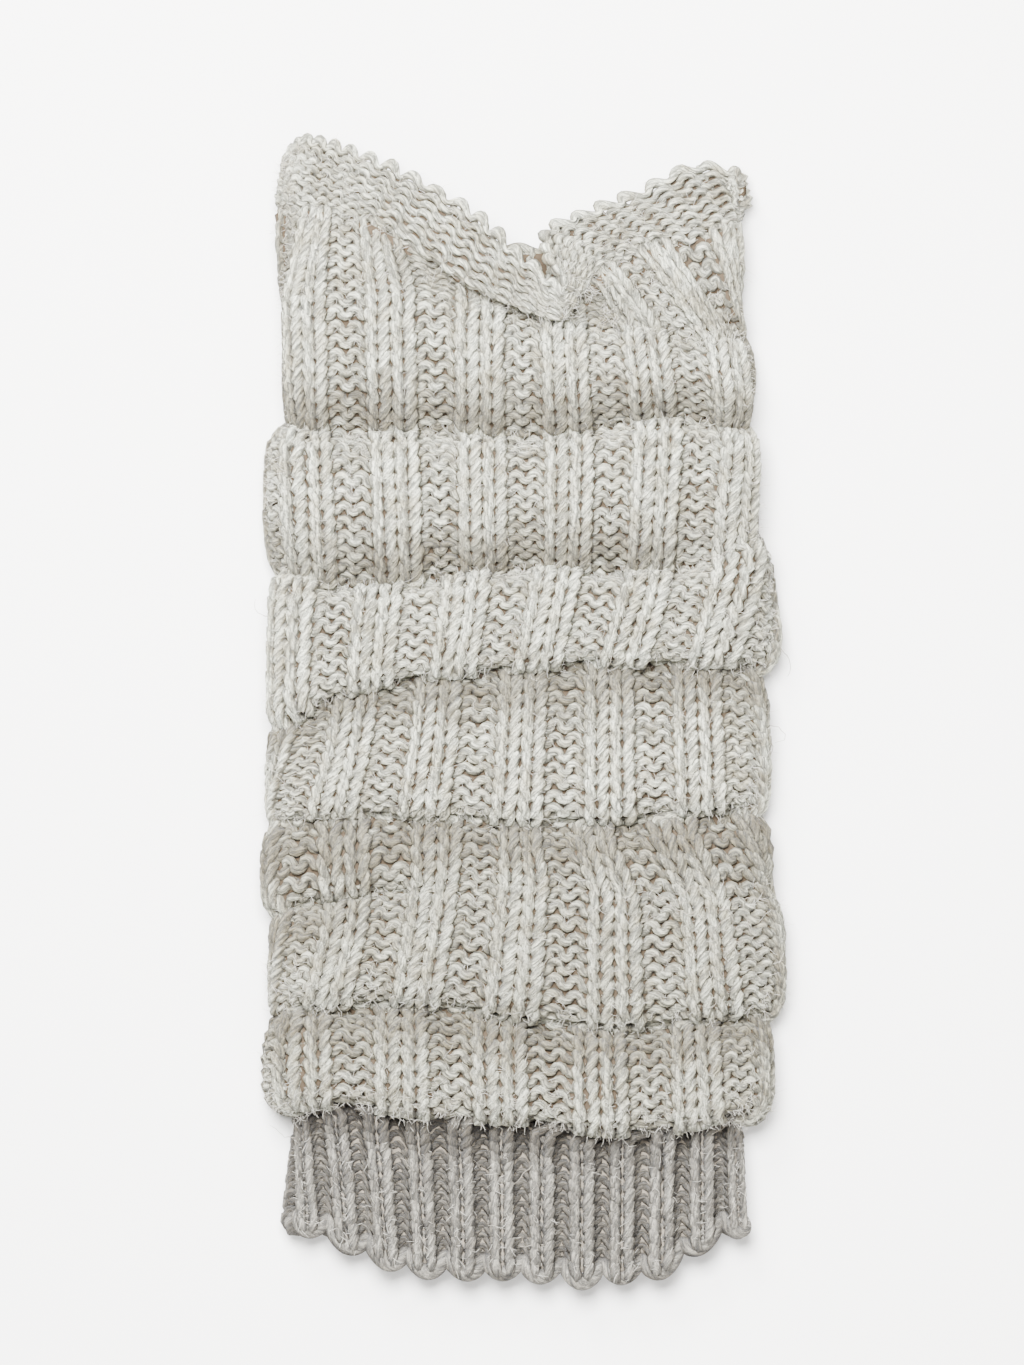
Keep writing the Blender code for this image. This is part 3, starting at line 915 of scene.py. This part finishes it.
@dataclass(frozen=True)
class CoreCloth:
    """The inside of the knitting: felted wool, coloured dark as painted shade.

    It gives the eye the brownish depth between the loops, where only shade would show.
    """

    name: str
    # Both colours are painted shade, far darker than the oatmeal wool
    colour: str = "#54493c"
    shade: str = "#3b3228"

    def build(self) -> bpy.types.Material:
        """Gives the matt material its colour and pattern.

        Returns:
            The finished material.
        """
        material = matt_material(self.name, roughness=0.95, specular=0.1)
        tree = material.node_tree
        shader = tree.nodes["Principled BSDF"]
        add = partial(add_node, tree)
        place = add("ShaderNodeTexCoord").outputs["Object"]
        # Felted fibres about 1.4 mm apart
        fibre = add("ShaderNodeTexNoise", {"Scale": 700.0, "Detail": 3.0}, Vector=place).outputs["Fac"]
        tone = add(
            "ShaderNodeMix",
            {"data_type": "RGBA", 6: linear(self.shade), 7: linear(self.colour)},
            in0=fibre,
        )
        bump = add("ShaderNodeBump", {"Strength": 0.6, "Distance": 0.0005}, Height=fibre)
        tree.links.new(tone.outputs[2], shader.inputs["Base Color"])
        tree.links.new(bump.outputs[0], shader.inputs["Normal"])
        return material


@dataclass(frozen=True)
class FineHair:
    """Single wool fibres, unspun.

    They give the eye thin, matt lines that change a little in colour along their length.
    """

    name: str
    colour: str = "#dcdad2"
    other: str = "#b9b3a6"

    def build(self) -> bpy.types.Material:
        """Gives the matt material its colour and pattern.

        Returns:
            The finished material.
        """
        material = matt_material(self.name, roughness=0.8, specular=0.2)
        tree = material.node_tree
        shader = tree.nodes["Principled BSDF"]
        add = partial(add_node, tree)
        place = add("ShaderNodeTexCoord").outputs["Object"]
        # The colour changes about every 8 mm
        change = add("ShaderNodeTexNoise", {"Scale": 120.0, "Detail": 2.0}, Vector=place)
        tone = add(
            "ShaderNodeMix",
            {"data_type": "RGBA", 6: linear(self.colour), 7: linear(self.other)},
            in0=change.outputs["Fac"],
        )
        tree.links.new(tone.outputs[2], shader.inputs["Base Color"])
        return material


@dataclass(frozen=True)
class TableTop:
    """White painted board: even and matt, so that the eye sees only the garment's soft shadow."""

    name: str = "white_table_top"
    colour: str = "#f6f5f3"

    def build(self) -> bpy.types.Material:
        """Gives the matt material its colour and pattern.

        Returns:
            The finished material.
        """
        material = matt_material(self.name, roughness=0.9, specular=0.5)
        shader = material.node_tree.nodes["Principled BSDF"]
        shader.inputs["Base Color"].default_value = linear(self.colour)
        return material


class Gauge(NamedTuple):
    """How the loops of a pattern are drawn.

    The reach of a purl loop up and down is in rows. Its lift off the cloth, the height of the ribs
    and the radii of the yarn are in millimetres. The last number makes heights count for more in
    the painted shade.
    """

    purl_reach: float
    purl_lift: float
    rib_height: float
    purl_radius: float
    knit_radius: float
    depth_share: float


class BoundEdge(NamedTuple):
    """A bound edge: a cord that bulges at even steps.

    Its row counts from the top edge, or below zero from the bottom one. Each bulge stands out by a
    reach in rows, which below zero goes up the tube. The period from bulge to bulge is in stitches,
    and the radius and the swell of each bulge off the cloth are in millimetres.
    """

    row: float
    reach: float
    radius: float
    period: int
    swell: float


class Unevenness(NamedTuple):
    """How far hand knitting strays: loops in stitches, rows or millimetres, and shares of a size."""

    spread: float = 0.02
    across: float = 0.022
    reach: float = 0.05
    down: float = 0.045
    lift: float = 0.18
    radius: float = 0.05


UNEVEN = Unevenness()
BULKY = Gauge(0.80, 1.7, 1.4, 1.42, 1.6, 1.0)
GAUGES = {
    Pattern.REVERSE: BULKY,
    Pattern.WIDE_RIB: BULKY,
    Pattern.NARROW_RIB: Gauge(0.16, 0.5, 2.5, 1.3, 1.85, 1.6),
}
KNIT_REACH = 0.92
KNIT_LIFT = 1.55
LEG_SPREAD = 0.125  # how far the two legs of a loop bow apart, in stitches
NARROW_BOW, WIDE_BOW = 0.03, 0.1  # how much further those of a knit loop do
SEAM_SINK = 1.6  # how far the leg's first rows sink towards the band's seam, in millimetres
PURL_LEAN = 0.55  # how far a row of the band leans over the next, in millimetres
TIGHT_POWER = 0.45  # how fast the yarn thins where the room gets less
SQUEEZE = 0.2  # share of its radius that a knit loop loses between crowded ribs
FRONT_HALF = 14  # stitches on either side of the middle that are drawn more closely
KNIT_POINTS, PURL_POINTS, BACK_POINTS = 12, 16, 8  # points of the strand in one stitch
EDGE_POINTS = 12


class Knitting:
    """Turns rows of stitches on the laid form into strands of yarn."""

    def __init__(self, form: LaidForm) -> None:
        """Keeps the form that the stitches follow, and a list of the rows as they are made."""
        self.form = form
        self.made: list[Strand] = []

    @staticmethod
    def _samples(pattern: Pattern) -> Array:
        """Where a row's points lie round the tube: close in front and on purl, wide behind.

        Args:
            pattern: the row's stitch pattern.

        Returns:
            The places, in stitches from the middle of the front.
        """
        marks = []
        for stitch in range(-STITCHES // 2, STITCHES // 2):
            knit = knit_share(pattern, np.array([stitch + 0.5]))[0] > 0.5
            front = KNIT_POINTS if knit else PURL_POINTS
            count = front if -FRONT_HALF <= stitch < FRONT_HALF else BACK_POINTS
            marks.append(stitch + np.arange(count) / count)
        return np.concatenate(marks)

    def row(self, number: int, pattern: Pattern) -> Strand:
        """One row's strand, all the way round.

        Args:
            number: the row, counted from the top edge; it also picks the row's small unevenness.
            pattern: the stitch pattern.

        Returns:
            The strand. Its loops rise at the back of a knit stitch and at the front of a purl one.
        """
        gauge = GAUGES[pattern]
        t = self._samples(pattern)
        angle = 2 * np.pi * (t - np.floor(t))
        knit = knit_share(pattern, t)
        drift = self._unevenness(number, t)
        room, width = self.form.room_at(number + 0.5, t)
        slim = smooth_step(0.62, 0.95, width)
        bow = NARROW_BOW if pattern is Pattern.NARROW_RIB else WIDE_BOW * slim
        spread = LEG_SPREAD + bow * knit + UNEVEN.spread * drift[4]
        across = t + spread * np.sin(2 * angle) + UNEVEN.across * drift[0]
        reach = gauge.purl_reach + (KNIT_REACH - gauge.purl_reach) * knit
        reach = reach * (1 + UNEVEN.reach * drift[1])
        down = number + 0.5 + reach * np.cos(angle) + UNEVEN.down * drift[2]
        turn = np.cos(2 * angle)
        purl_lift = gauge.purl_lift * room * (1 - (1 - turn) ** 2 / 2)
        knit_lift = KNIT_LIFT * room * (1 - (1 + turn) ** 2 / 2)
        lift = purl_lift + (knit_lift - purl_lift) * knit + (2 * knit - 1) * gauge.rib_height
        lift = lift + UNEVEN.lift * drift[3]
        if pattern is Pattern.WIDE_RIB:
            # The first rows start level with the band's seam
            seam = SEAM_SINK * (1 - smooth_step(-0.5, 2.0, number - BAND_ROWS))
            lift = lift - seam * (0.3 + knit)
        if pattern is Pattern.REVERSE:
            # Each purl row leans a little, as it overlaps the next
            lift = lift - PURL_LEAN * np.cos(angle) * room
        radius = gauge.purl_radius + (gauge.knit_radius - gauge.purl_radius) * knit
        radius = radius * room**TIGHT_POWER * (1 + UNEVEN.radius * drift[4])
        radius = radius * (1 - SQUEEZE * knit * (1 - slim))
        line, outward = self.form.at(down, across, lift)
        bare = self._openness(number, pattern, t, knit, room)
        self.made.append(Strand(line, radius, outward, lift * gauge.depth_share, bare))
        return self.made[-1]

    def _openness(self, number: int, pattern: Pattern, stitch: Array, knit: Array, room: Array) -> Array:
        """How open a row lies to the light: less beside a rib and where the collar is crushed.

        Args:
            number: the row, counted from the top edge.
            pattern: its stitch pattern.
            stitch: its points' places round the tube.
            knit: the share of knit at each.
            room: the room for yarn at each.

        Returns:
            A share from 0 to 1 at each point.
        """
        bare = self.form.open_at(number + 0.5, stitch)
        if pattern is Pattern.WIDE_RIB:
            beside = 1 - smooth_step(1.0, 1.5, np.abs(rib_offset(stitch)))
            bare = bare * (1 - BESIDE_RIB_SHADE * (1 - knit) * beside)
        if BAND_ROWS <= number <= BAND_ROWS + COLLAR_ROWS:
            bare = bare * (1 - CRUSHED_SHADE * (1 - smooth_step(0.6, 0.85, room)))
        return bare

    @staticmethod
    def _unevenness(seed: int, stitch: Array) -> list[Array]:
        """Five smooth random lines round the tube, for the unevenness of hand knitting.

        Args:
            seed: picks the lines.
            stitch: the places round the tube.

        Returns:
            The five lines' values, mostly between -1 and 1.
        """
        chance = np.random.RandomState(100 + seed)
        uneven = chance.normal(0, 1, (5, STITCHES + 1))
        uneven[:, -1] = uneven[:, 0]
        marks = np.arange(STITCHES + 1) - STITCHES / 2
        return [np.interp(stitch, marks, line) for line in uneven]

    def edge(self, edge: BoundEdge) -> Strand:
        """The cord of a bound edge, all the way round.

        Args:
            edge: where it runs, and its bulges.

        Returns:
            The strand.
        """
        row = edge.row if edge.row > 0 else self.form.rows + edge.row
        t = np.arange(STITCHES * EDGE_POINTS) / EDGE_POINTS - STITCHES / 2
        drift = self._unevenness(900 + int(row), t)
        bulge = np.abs(np.cos(np.pi * (t - 0.5) / edge.period)) ** (0.7 if edge.swell else 2.2)
        down = row + edge.reach * bulge * (1 + 0.4 * drift[0])
        lift = 0.3 * drift[2] - 0.4 + edge.swell * (2 * bulge - 1)
        line, outward = self.form.at(down, t + 0.05 * drift[1], lift)
        radii = edge.radius * (0.68 + 0.42 * bulge) * (1 + 0.06 * drift[3])
        return Strand(line, radii, outward, np.ones_like(t), np.ones_like(t))


def joined_strands(
    name: str, strands: list[Strand], finish: bpy.types.Material, hair: bool = False
) -> bpy.types.Object:
    """Makes round strands and joins them into one piece.

    Args:
        name: the piece's name.
        strands: their middle lines and radii.
        finish: their material.
        hair: whether they are loose hairs, closed by a cap at both ends and with fewer sides.

    Returns:
        The mesh object, which rides on the root.
    """
    mesh = _swept(name, strands, hair)
    _paint(mesh, strands)
    if hair:
        _close_ends(mesh)
    mesh.materials.clear()
    mesh.materials.append(finish)
    mesh.shade_smooth()
    piece = bpy.data.objects.new(name, mesh)
    bpy.context.scene.collection.objects.link(piece)
    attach(piece, "root")
    LOG.info("%s: %d strands, %d faces", name, len(strands), len(mesh.polygons))
    return piece


def _swept(name: str, strands: list[Strand], hair: bool) -> bpy.types.Mesh:
    """Sweeps a ring along each strand, which turns a curve for each into one mesh.

    Args:
        name: the mesh's name.
        strands: the middle lines and radii.
        hair: whether they are open lines with fewer sides.

    Returns:
        The mesh, a ring of vertices for each point of a strand.
    """
    curve = bpy.data.curves.new(name, "CURVE")
    curve.dimensions = "3D"
    curve.bevel_depth = MM
    curve.bevel_resolution = 0 if hair else 1
    for strand in strands:
        points = (strand.line - FOOTPRINT_MIDDLE) * MM
        spline = curve.splines.new("POLY")
        spline.points.add(len(points) - 1)
        spline.points.foreach_set("co", np.c_[points, np.ones(len(points))].ravel())
        spline.points.foreach_set("radius", strand.radius)
        spline.use_cyclic_u = not hair
    holder = bpy.data.objects.new(name + "_line", curve)
    bpy.context.scene.collection.objects.link(holder)
    graph = bpy.context.evaluated_depsgraph_get()
    mesh = bpy.data.meshes.new_from_object(holder.evaluated_get(graph))
    bpy.data.objects.remove(holder)
    mesh.name = name
    return mesh


def _paint(mesh: bpy.types.Mesh, strands: list[Strand]) -> None:
    """Gives each point of swept strands the two attributes that the yarn's material reads.

    "spun" is the place on an untwisted yarn, in millimetres and drawn together along it, so that
    noise on it makes long strokes that wind round. "bare" is the share of light left
    by painted shade, from 0 on the yarn's hidden sides and in a fold to 1.

    Args:
        mesh: the strands' mesh, with a ring of vertices for each point of a strand.
        strands: the strands that it was swept along, in order.
    """
    length = np.concatenate(
        [
            np.concatenate([[0.0], np.cumsum(np.linalg.norm(np.diff(strand.line, axis=0), axis=-1))])
            for strand in strands
        ]
    )
    line, radius, outward, lift, openness = (
        np.concatenate([getattr(strand, part) for strand in strands]) for part in Strand._fields
    )
    sides = len(mesh.vertices) // len(length)
    turn = np.arange(sides) * 2 * np.pi / sides
    twisted = turn[None, :] - (2 * np.pi * length / TWIST_LEAD)[:, None]
    spun = np.stack(
        [
            radius[:, None] * np.cos(twisted),
            radius[:, None] * np.sin(twisted),
            np.repeat(length[:, None] * 0.16, sides, axis=1),
        ],
        axis=-1,
    )
    layer = mesh.attributes.new("spun", "FLOAT_VECTOR", "POINT")
    layer.data.foreach_set("vector", spun.astype(np.float32).ravel())
    corners = np.empty(len(mesh.vertices) * 3, np.float32)
    mesh.vertices.foreach_get("co", corners)
    corners = corners.reshape(len(length), sides, 3) / MM + FOOTPRINT_MIDDLE
    # Painted shade: the yarn's sides and undersides, its low places and the folds get a smaller painted
    # light share
    above = ((corners - line[:, None, :]) * outward[:, None, :]).sum(axis=-1)
    ridge = smooth_step(0.1, 0.95, np.abs(above) / radius[:, None])
    height = np.where(above < 0, -lift[:, None], lift[:, None])
    seen = HIDDEN_SIDE_SHARE + (1 - HIDDEN_SIDE_SHARE) * smooth_step(-3.0, 1.2, height)
    bare = ridge * seen * openness[:, None]
    layer = mesh.attributes.new("bare", "FLOAT", "POINT")
    layer.data.foreach_set("value", bare.astype(np.float32).ravel())


def _close_ends(mesh: bpy.types.Mesh) -> None:
    """Caps both ends of each hair in a mesh.

    Args:
        mesh: the mesh of swept hairs.
    """
    shape = bmesh.new()
    shape.from_mesh(mesh)
    open_edges = [edge for edge in shape.edges if edge.is_boundary]
    bmesh.ops.holes_fill(shape, edges=open_edges, sides=HAIR_SIDES)
    bmesh.ops.recalc_face_normals(shape, faces=shape.faces)
    shape.to_mesh(mesh)
    shape.free()


@dataclass(frozen=True)
class Nap:
    """Loose hairs that stand off the yarn, joined into one mesh.

    Lengths and radius are in millimetres. The lift is how steeply the hairs stand, and facing the
    least upward turn of the cloth they grow on. With a place given, they grow only near it: its X,
    its Y and the reach round it.
    """

    name: str
    count: int
    length: tuple[float, float]
    radius: float
    points: int
    seed: int
    lift: float = 0.75
    facing: float = 0.0
    near: tuple[float, float, float] | None = None

    def build(self, strands: list[Strand], finish: bpy.types.Material) -> bpy.types.Object:
        """Roots the hairs at random places on the upper side of the yarn.

        Args:
            strands: the rows that the hairs grow from.
            finish: the hairs' material.

        Returns:
            The joined mesh, which rides on the root.
        """
        chance = np.random.RandomState(self.seed)
        hairs: list[Strand] = []
        while len(hairs) < self.count:
            strand = strands[chance.randint(len(strands))]
            spot = chance.randint(len(strand.line))
            outward = strand.outward[spot]
            if outward[2] < self.facing or strand.lift[spot] < -1.2 or strand.open[spot] < 0.55:
                continue
            if self.near and math.dist(strand.line[spot][:2], self.near[:2]) > self.near[2]:
                continue
            hairs.append(self._hair(chance, strand, spot))
        return joined_strands(self.name, hairs, finish, hair=True)

    def _hair(self, chance: np.random.RandomState, strand: Strand, spot: int) -> Strand:
        """One curved hair from a spot on a strand.

        Args:
            chance: the source of its random turns.
            strand: the yarn it grows from.
            spot: the point of the yarn.

        Returns:
            The hair, rooted just under the yarn's surface.
        """
        outward = strand.outward[spot]
        lean = unit(outward * self.lift + chance.normal(0, 0.7, 3))
        start = strand.line[spot] + unit(outward + chance.normal(0, 0.4, 3)) * strand.radius[spot] * 0.92
        step = chance.uniform(*self.length) / (self.points - 1)
        path = [start]
        for _ in range(self.points - 1):
            lean = unit(lean + chance.normal(0, 0.3, 3) + outward * (self.lift - 0.75) * 0.3)
            path.append(path[-1] + lean * step)
        line = np.array(path)
        line[:, 2] = np.maximum(line[:, 2], 0.3)
        radius = np.full(self.points, self.radius) * np.linspace(1.0, 0.5, self.points)
        plain = np.ones(self.points)
        return Strand(line, radius, np.tile(outward, (self.points, 1)), plain, plain)


@dataclass(frozen=True)
class LooseHairs:
    """All the hairs: a nap everywhere, fuzz over the creases and the ankle, and dark guard hairs."""

    nap: Nap = Nap("nap", 8400, (1.8, 4.2), 0.055, 3, 7)
    rim_nap: Nap = Nap("rim_nap", 1500, (1.6, 3.6), 0.05, 3, 15, facing=0.3)
    ankle_nap: Nap = Nap("ankle_nap", 1400, (1.4, 3.0), 0.055, 3, 9, facing=0.1)
    stray: Nap = Nap("stray_hairs", 110, (6.0, 14.0), 0.12, 10, 11, lift=0.3)
    tangle: Nap = Nap(
        "tangled_hairs", 18, (12.0, 24.0), 0.13, 18, 13, lift=0.45, facing=0.7, near=(54.0, -66.0, 16.0)
    )

    def build(self, knitting: Knitting) -> None:
        """Makes the hairs on the rows that are knitted.

        Args:
            knitting: the rows made so far, and the form under them.
        """
        white = FineHair("white_wool_nap").build()
        dark = FineHair("dark_guard_hair", colour="#4a4036").build()
        rims = [knitting.made[crease - 4 : crease + 1] for crease in knitting.form.crease_rows[1:]]
        self.nap.build(knitting.made, white)
        self.rim_nap.build([row for rim in rims[:-1] for row in rim], white)
        self.ankle_nap.build(rims[-1], white)
        self.stray.build(knitting.made, dark)
        self.tangle.build(knitting.made, dark)


@dataclass
class KnittedStretch:
    """A stretch of the tube that stands for one CAD node: its yarn, and the wall inside the yarn.

    The flat size is the stretch's cut in metres; it is not used here. The gaps are how many rows
    short of the stretch's two ends the wall stops, and its thickness is in millimetres.
    """

    yarn: bpy.types.Material
    inside: bpy.types.Material
    name: str
    node: str
    pattern: Pattern
    flat: tuple[float, float]
    gaps: tuple[float, float] = (0.1, 0.1)
    bound_edge: BoundEdge | None = None
    thickness: float = 1.0
    around: int = 96
    pieces: list[bpy.types.Object] = field(default_factory=list)

    def ends(self, form: LaidForm) -> list[int]:
        """The rows at which the stretch starts, is divided into pieces, and stops."""
        raise NotImplementedError

    def knit(self, knitting: Knitting) -> None:
        """Makes the rows of yarn, one piece between each two of the stretch's ends.

        Args:
            knitting: makes the rows and keeps them.
        """
        ends = self.ends(knitting.form)
        for number, (first, last) in enumerate(zip(ends, ends[1:]), start=1):
            rows = [knitting.row(row, self.pattern) for row in range(first, last)]
            if self.bound_edge:
                rows.append(knitting.edge(self.bound_edge))
            name = f"{self.name}_yarn" if len(ends) == 2 else f"{self.name}_yarn_{number}"
            self.pieces.append(joined_strands(name, rows, self.yarn))

    def line(self, form: LaidForm) -> None:
        """Args:
            form: the laid form.
        """
        ends = self.ends(form)
        piece = self._wall(form, ends[0] + self.gaps[0], ends[-1] - self.gaps[1])
        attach(piece, "root")
        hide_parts(self.node)
        LOG.info("%s: %d faces", piece.name, len(piece.data.polygons))

    def _wall(self, form: LaidForm, first: float, last: float) -> bpy.types.Object:
        """Extrudes a ring of edges down the form, row by row, and gives it a thickness.

        Args:
            form: the laid form.
            first: the row at which the wall starts.
            last: the row at which it stops.

        Returns:
            The wall, thickened by a modifier.
        """
        stitch = np.arange(self.around) * STITCHES / self.around - STITCHES / 2
        lift = (2 * knit_share(self.pattern, stitch) - 1) * GAUGES[self.pattern].rib_height - 0.2
        rings = [
            (form.at(np.full(self.around, row), stitch, lift)[0] - FOOTPRINT_MIDDLE) * MM
            for row in np.linspace(first, last, max(4, int(last - first)) + 1)
        ]
        shape = bmesh.new()
        bmesh.ops.create_circle(shape, segments=self.around, radius=0.05)
        edges, ring = list(shape.edges), list(shape.verts)
        for vert, point in zip(ring, rings[0]):
            vert.co = point
        for points in rings[1:]:
            made = bmesh.ops.extrude_edge_only(shape, edges=edges)["geom"]
            edges = [part for part in made if isinstance(part, bmesh.types.BMEdge) and part.is_boundary]
            fresh = {part for part in made if isinstance(part, bmesh.types.BMVert)}
            ring = [
                next(edge.other_vert(vert) for edge in vert.link_edges if edge.other_vert(vert) in fresh)
                for vert in ring
            ]
            for vert, point in zip(ring, points):
                vert.co = point
        bmesh.ops.recalc_face_normals(shape, faces=shape.faces)
        mesh = bpy.data.meshes.new(f"{self.name}_core")
        shape.to_mesh(mesh)
        shape.free()
        mesh.materials.append(self.inside)
        mesh.shade_smooth()
        piece = bpy.data.objects.new(mesh.name, mesh)
        bpy.context.scene.collection.objects.link(piece)
        wall = piece.modifiers.new("wall", "SOLIDIFY")
        wall.thickness = self.thickness * MM
        wall.offset = 0.0
        return piece


@dataclass
class TopBand(KnittedStretch):
    """The rolled band: rows of purl under a scalloped, bound-off rim."""

    name: str = "band"
    node: str = "top_band"
    pattern: Pattern = Pattern.REVERSE
    flat: tuple[float, float] = (0.324, 0.017)
    gaps: tuple[float, float] = (0.6, 0.1)
    bound_edge: BoundEdge | None = BoundEdge(0.35, -0.95, 1.5, 1, 0.0)

    def ends(self, form: LaidForm) -> list[int]:
        """The band's first row, and the row at its seam."""
        return [0, BAND_ROWS]


@dataclass
class RibbedLeg(KnittedStretch):
    """The leg in wide rib, pushed down into seven tiers, each a piece of its own."""

    name: str = "leg"
    node: str = "ribbed_leg"
    pattern: Pattern = Pattern.WIDE_RIB
    flat: tuple[float, float] = (0.324, 0.360)

    def ends(self, form: LaidForm) -> list[int]:
        """The row at the band's seam, and the row in each crease."""
        return [BAND_ROWS, *map(int, form.crease_rows[1:])]


@dataclass
class AnkleCuff(KnittedStretch):
    """The cuff in narrow rib, with its lobed cast-on edge."""

    name: str = "cuff"
    node: str = "ankle_cuff"
    pattern: Pattern = Pattern.NARROW_RIB
    flat: tuple[float, float] = (0.288, 0.050)
    gaps: tuple[float, float] = (0.1, 0.6)
    bound_edge: BoundEdge | None = BoundEdge(-0.5, 0.5, 2.6, 2, 1.7)

    def ends(self, form: LaidForm) -> list[int]:
        """The row in the last crease, and the last row."""
        return [int(form.crease_rows[-1]), form.rows]


@dataclass(frozen=True)
class SoftLight:
    """A square soft light that faces the garment, in metres and watts."""

    name: str
    place: tuple[float, float, float]
    size: float
    power: float

    def build(self) -> None:
        """Makes the light and turns it to the origin."""
        lamp = bpy.data.lights.new(self.name, "AREA")
        lamp.size = self.size
        lamp.energy = self.power
        holder = bpy.data.objects.new(self.name, lamp)
        holder.location = self.place
        aim = -np.array(self.place) / np.linalg.norm(self.place)
        holder.rotation_euler = (math.acos(-aim[2]), 0.0, math.atan2(-aim[0], aim[1]))
        bpy.context.scene.collection.objects.link(holder)


@dataclass(frozen=True)
class Studio:
    """A white table top under soft light, seen from straight above, in metres."""

    lights: tuple[SoftLight, ...] = (
        SoftLight("sky_panel", (-0.1, 0.32, 1.15), 0.5, 94.0),
        SoftLight("window_panel", (-0.4, 0.95, 0.95), 0.5, 34.0),
        SoftLight("fill_panel", (0.3, -0.9, 0.8), 0.7, 11.0),
    )
    room_colour: str = "#f4f2ee"
    room_light: float = 0.72
    table_half: float = 3.0
    middle: tuple[float, float] = (-0.00325, 0.0071)
    view_height: float = 0.4095
    view_level: float = 0.015
    distance: float = 2.6
    sensor_mm: float = 36.0

    def build(self) -> None:
        """Makes the table top, the lights, the room's light and the camera."""
        self._table()
        for light in self.lights:
            light.build()
        world = bpy.data.worlds.new("soft_room")
        world.use_nodes = True
        world.node_tree.nodes["Background"].inputs[0].default_value = linear(self.room_colour)
        world.node_tree.nodes["Background"].inputs[1].default_value = self.room_light
        bpy.context.scene.world = world
        self._camera()

    def _table(self) -> None:
        """The table top that the garment lies on."""
        shape = bmesh.new()
        bmesh.ops.create_grid(shape, x_segments=1, y_segments=1, size=self.table_half)
        mesh = bpy.data.meshes.new("floor")
        shape.to_mesh(mesh)
        shape.free()
        mesh.materials.append(TableTop().build())
        floor = bpy.data.objects.new("floor", mesh)
        bpy.context.scene.collection.objects.link(floor)

    def _camera(self) -> None:
        """The photograph's view: straight down, from far enough to look nearly flat."""
        camera = bpy.data.cameras.new("camera")
        camera.sensor_fit = "VERTICAL"
        camera.sensor_height = self.sensor_mm
        camera.lens = self.sensor_mm * (self.distance - self.view_level) / self.view_height
        camera.clip_end = 20.0
        holder = bpy.data.objects.new("camera", camera)
        holder.location = (*self.middle, self.distance)
        bpy.context.scene.collection.objects.link(holder)
        bpy.context.scene.camera = holder


def main() -> None:
    """Builds the leg warmer and its studio."""
    logging.basicConfig(level=logging.INFO)
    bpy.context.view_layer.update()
    knitting = Knitting(LaidForm())
    wool = WoolYarn("spun_oatmeal_wool").build()
    # The cuff's yarn and inside are the same wool in darker colours: painted shade over the whole cuff
    shaded_cuff_wool = WoolYarn("greyer_oatmeal_wool", light="#989489", dark="#716c62").build()
    inside = CoreCloth("shaded_wool_inside").build()
    shaded_cuff_inside = CoreCloth("painted_shade_cuff_inside", "#877f73", "#6a6358").build()
    stretches = (TopBand(wool, inside), RibbedLeg(wool, inside), AnkleCuff(shaded_cuff_wool, shaded_cuff_inside))
    for stretch in stretches:
        stretch.knit(knitting)
    LooseHairs().build(knitting)
    for stretch in stretches:
        stretch.line(knitting.form)
    Studio().build()


if __name__ == "__main__":
    main()
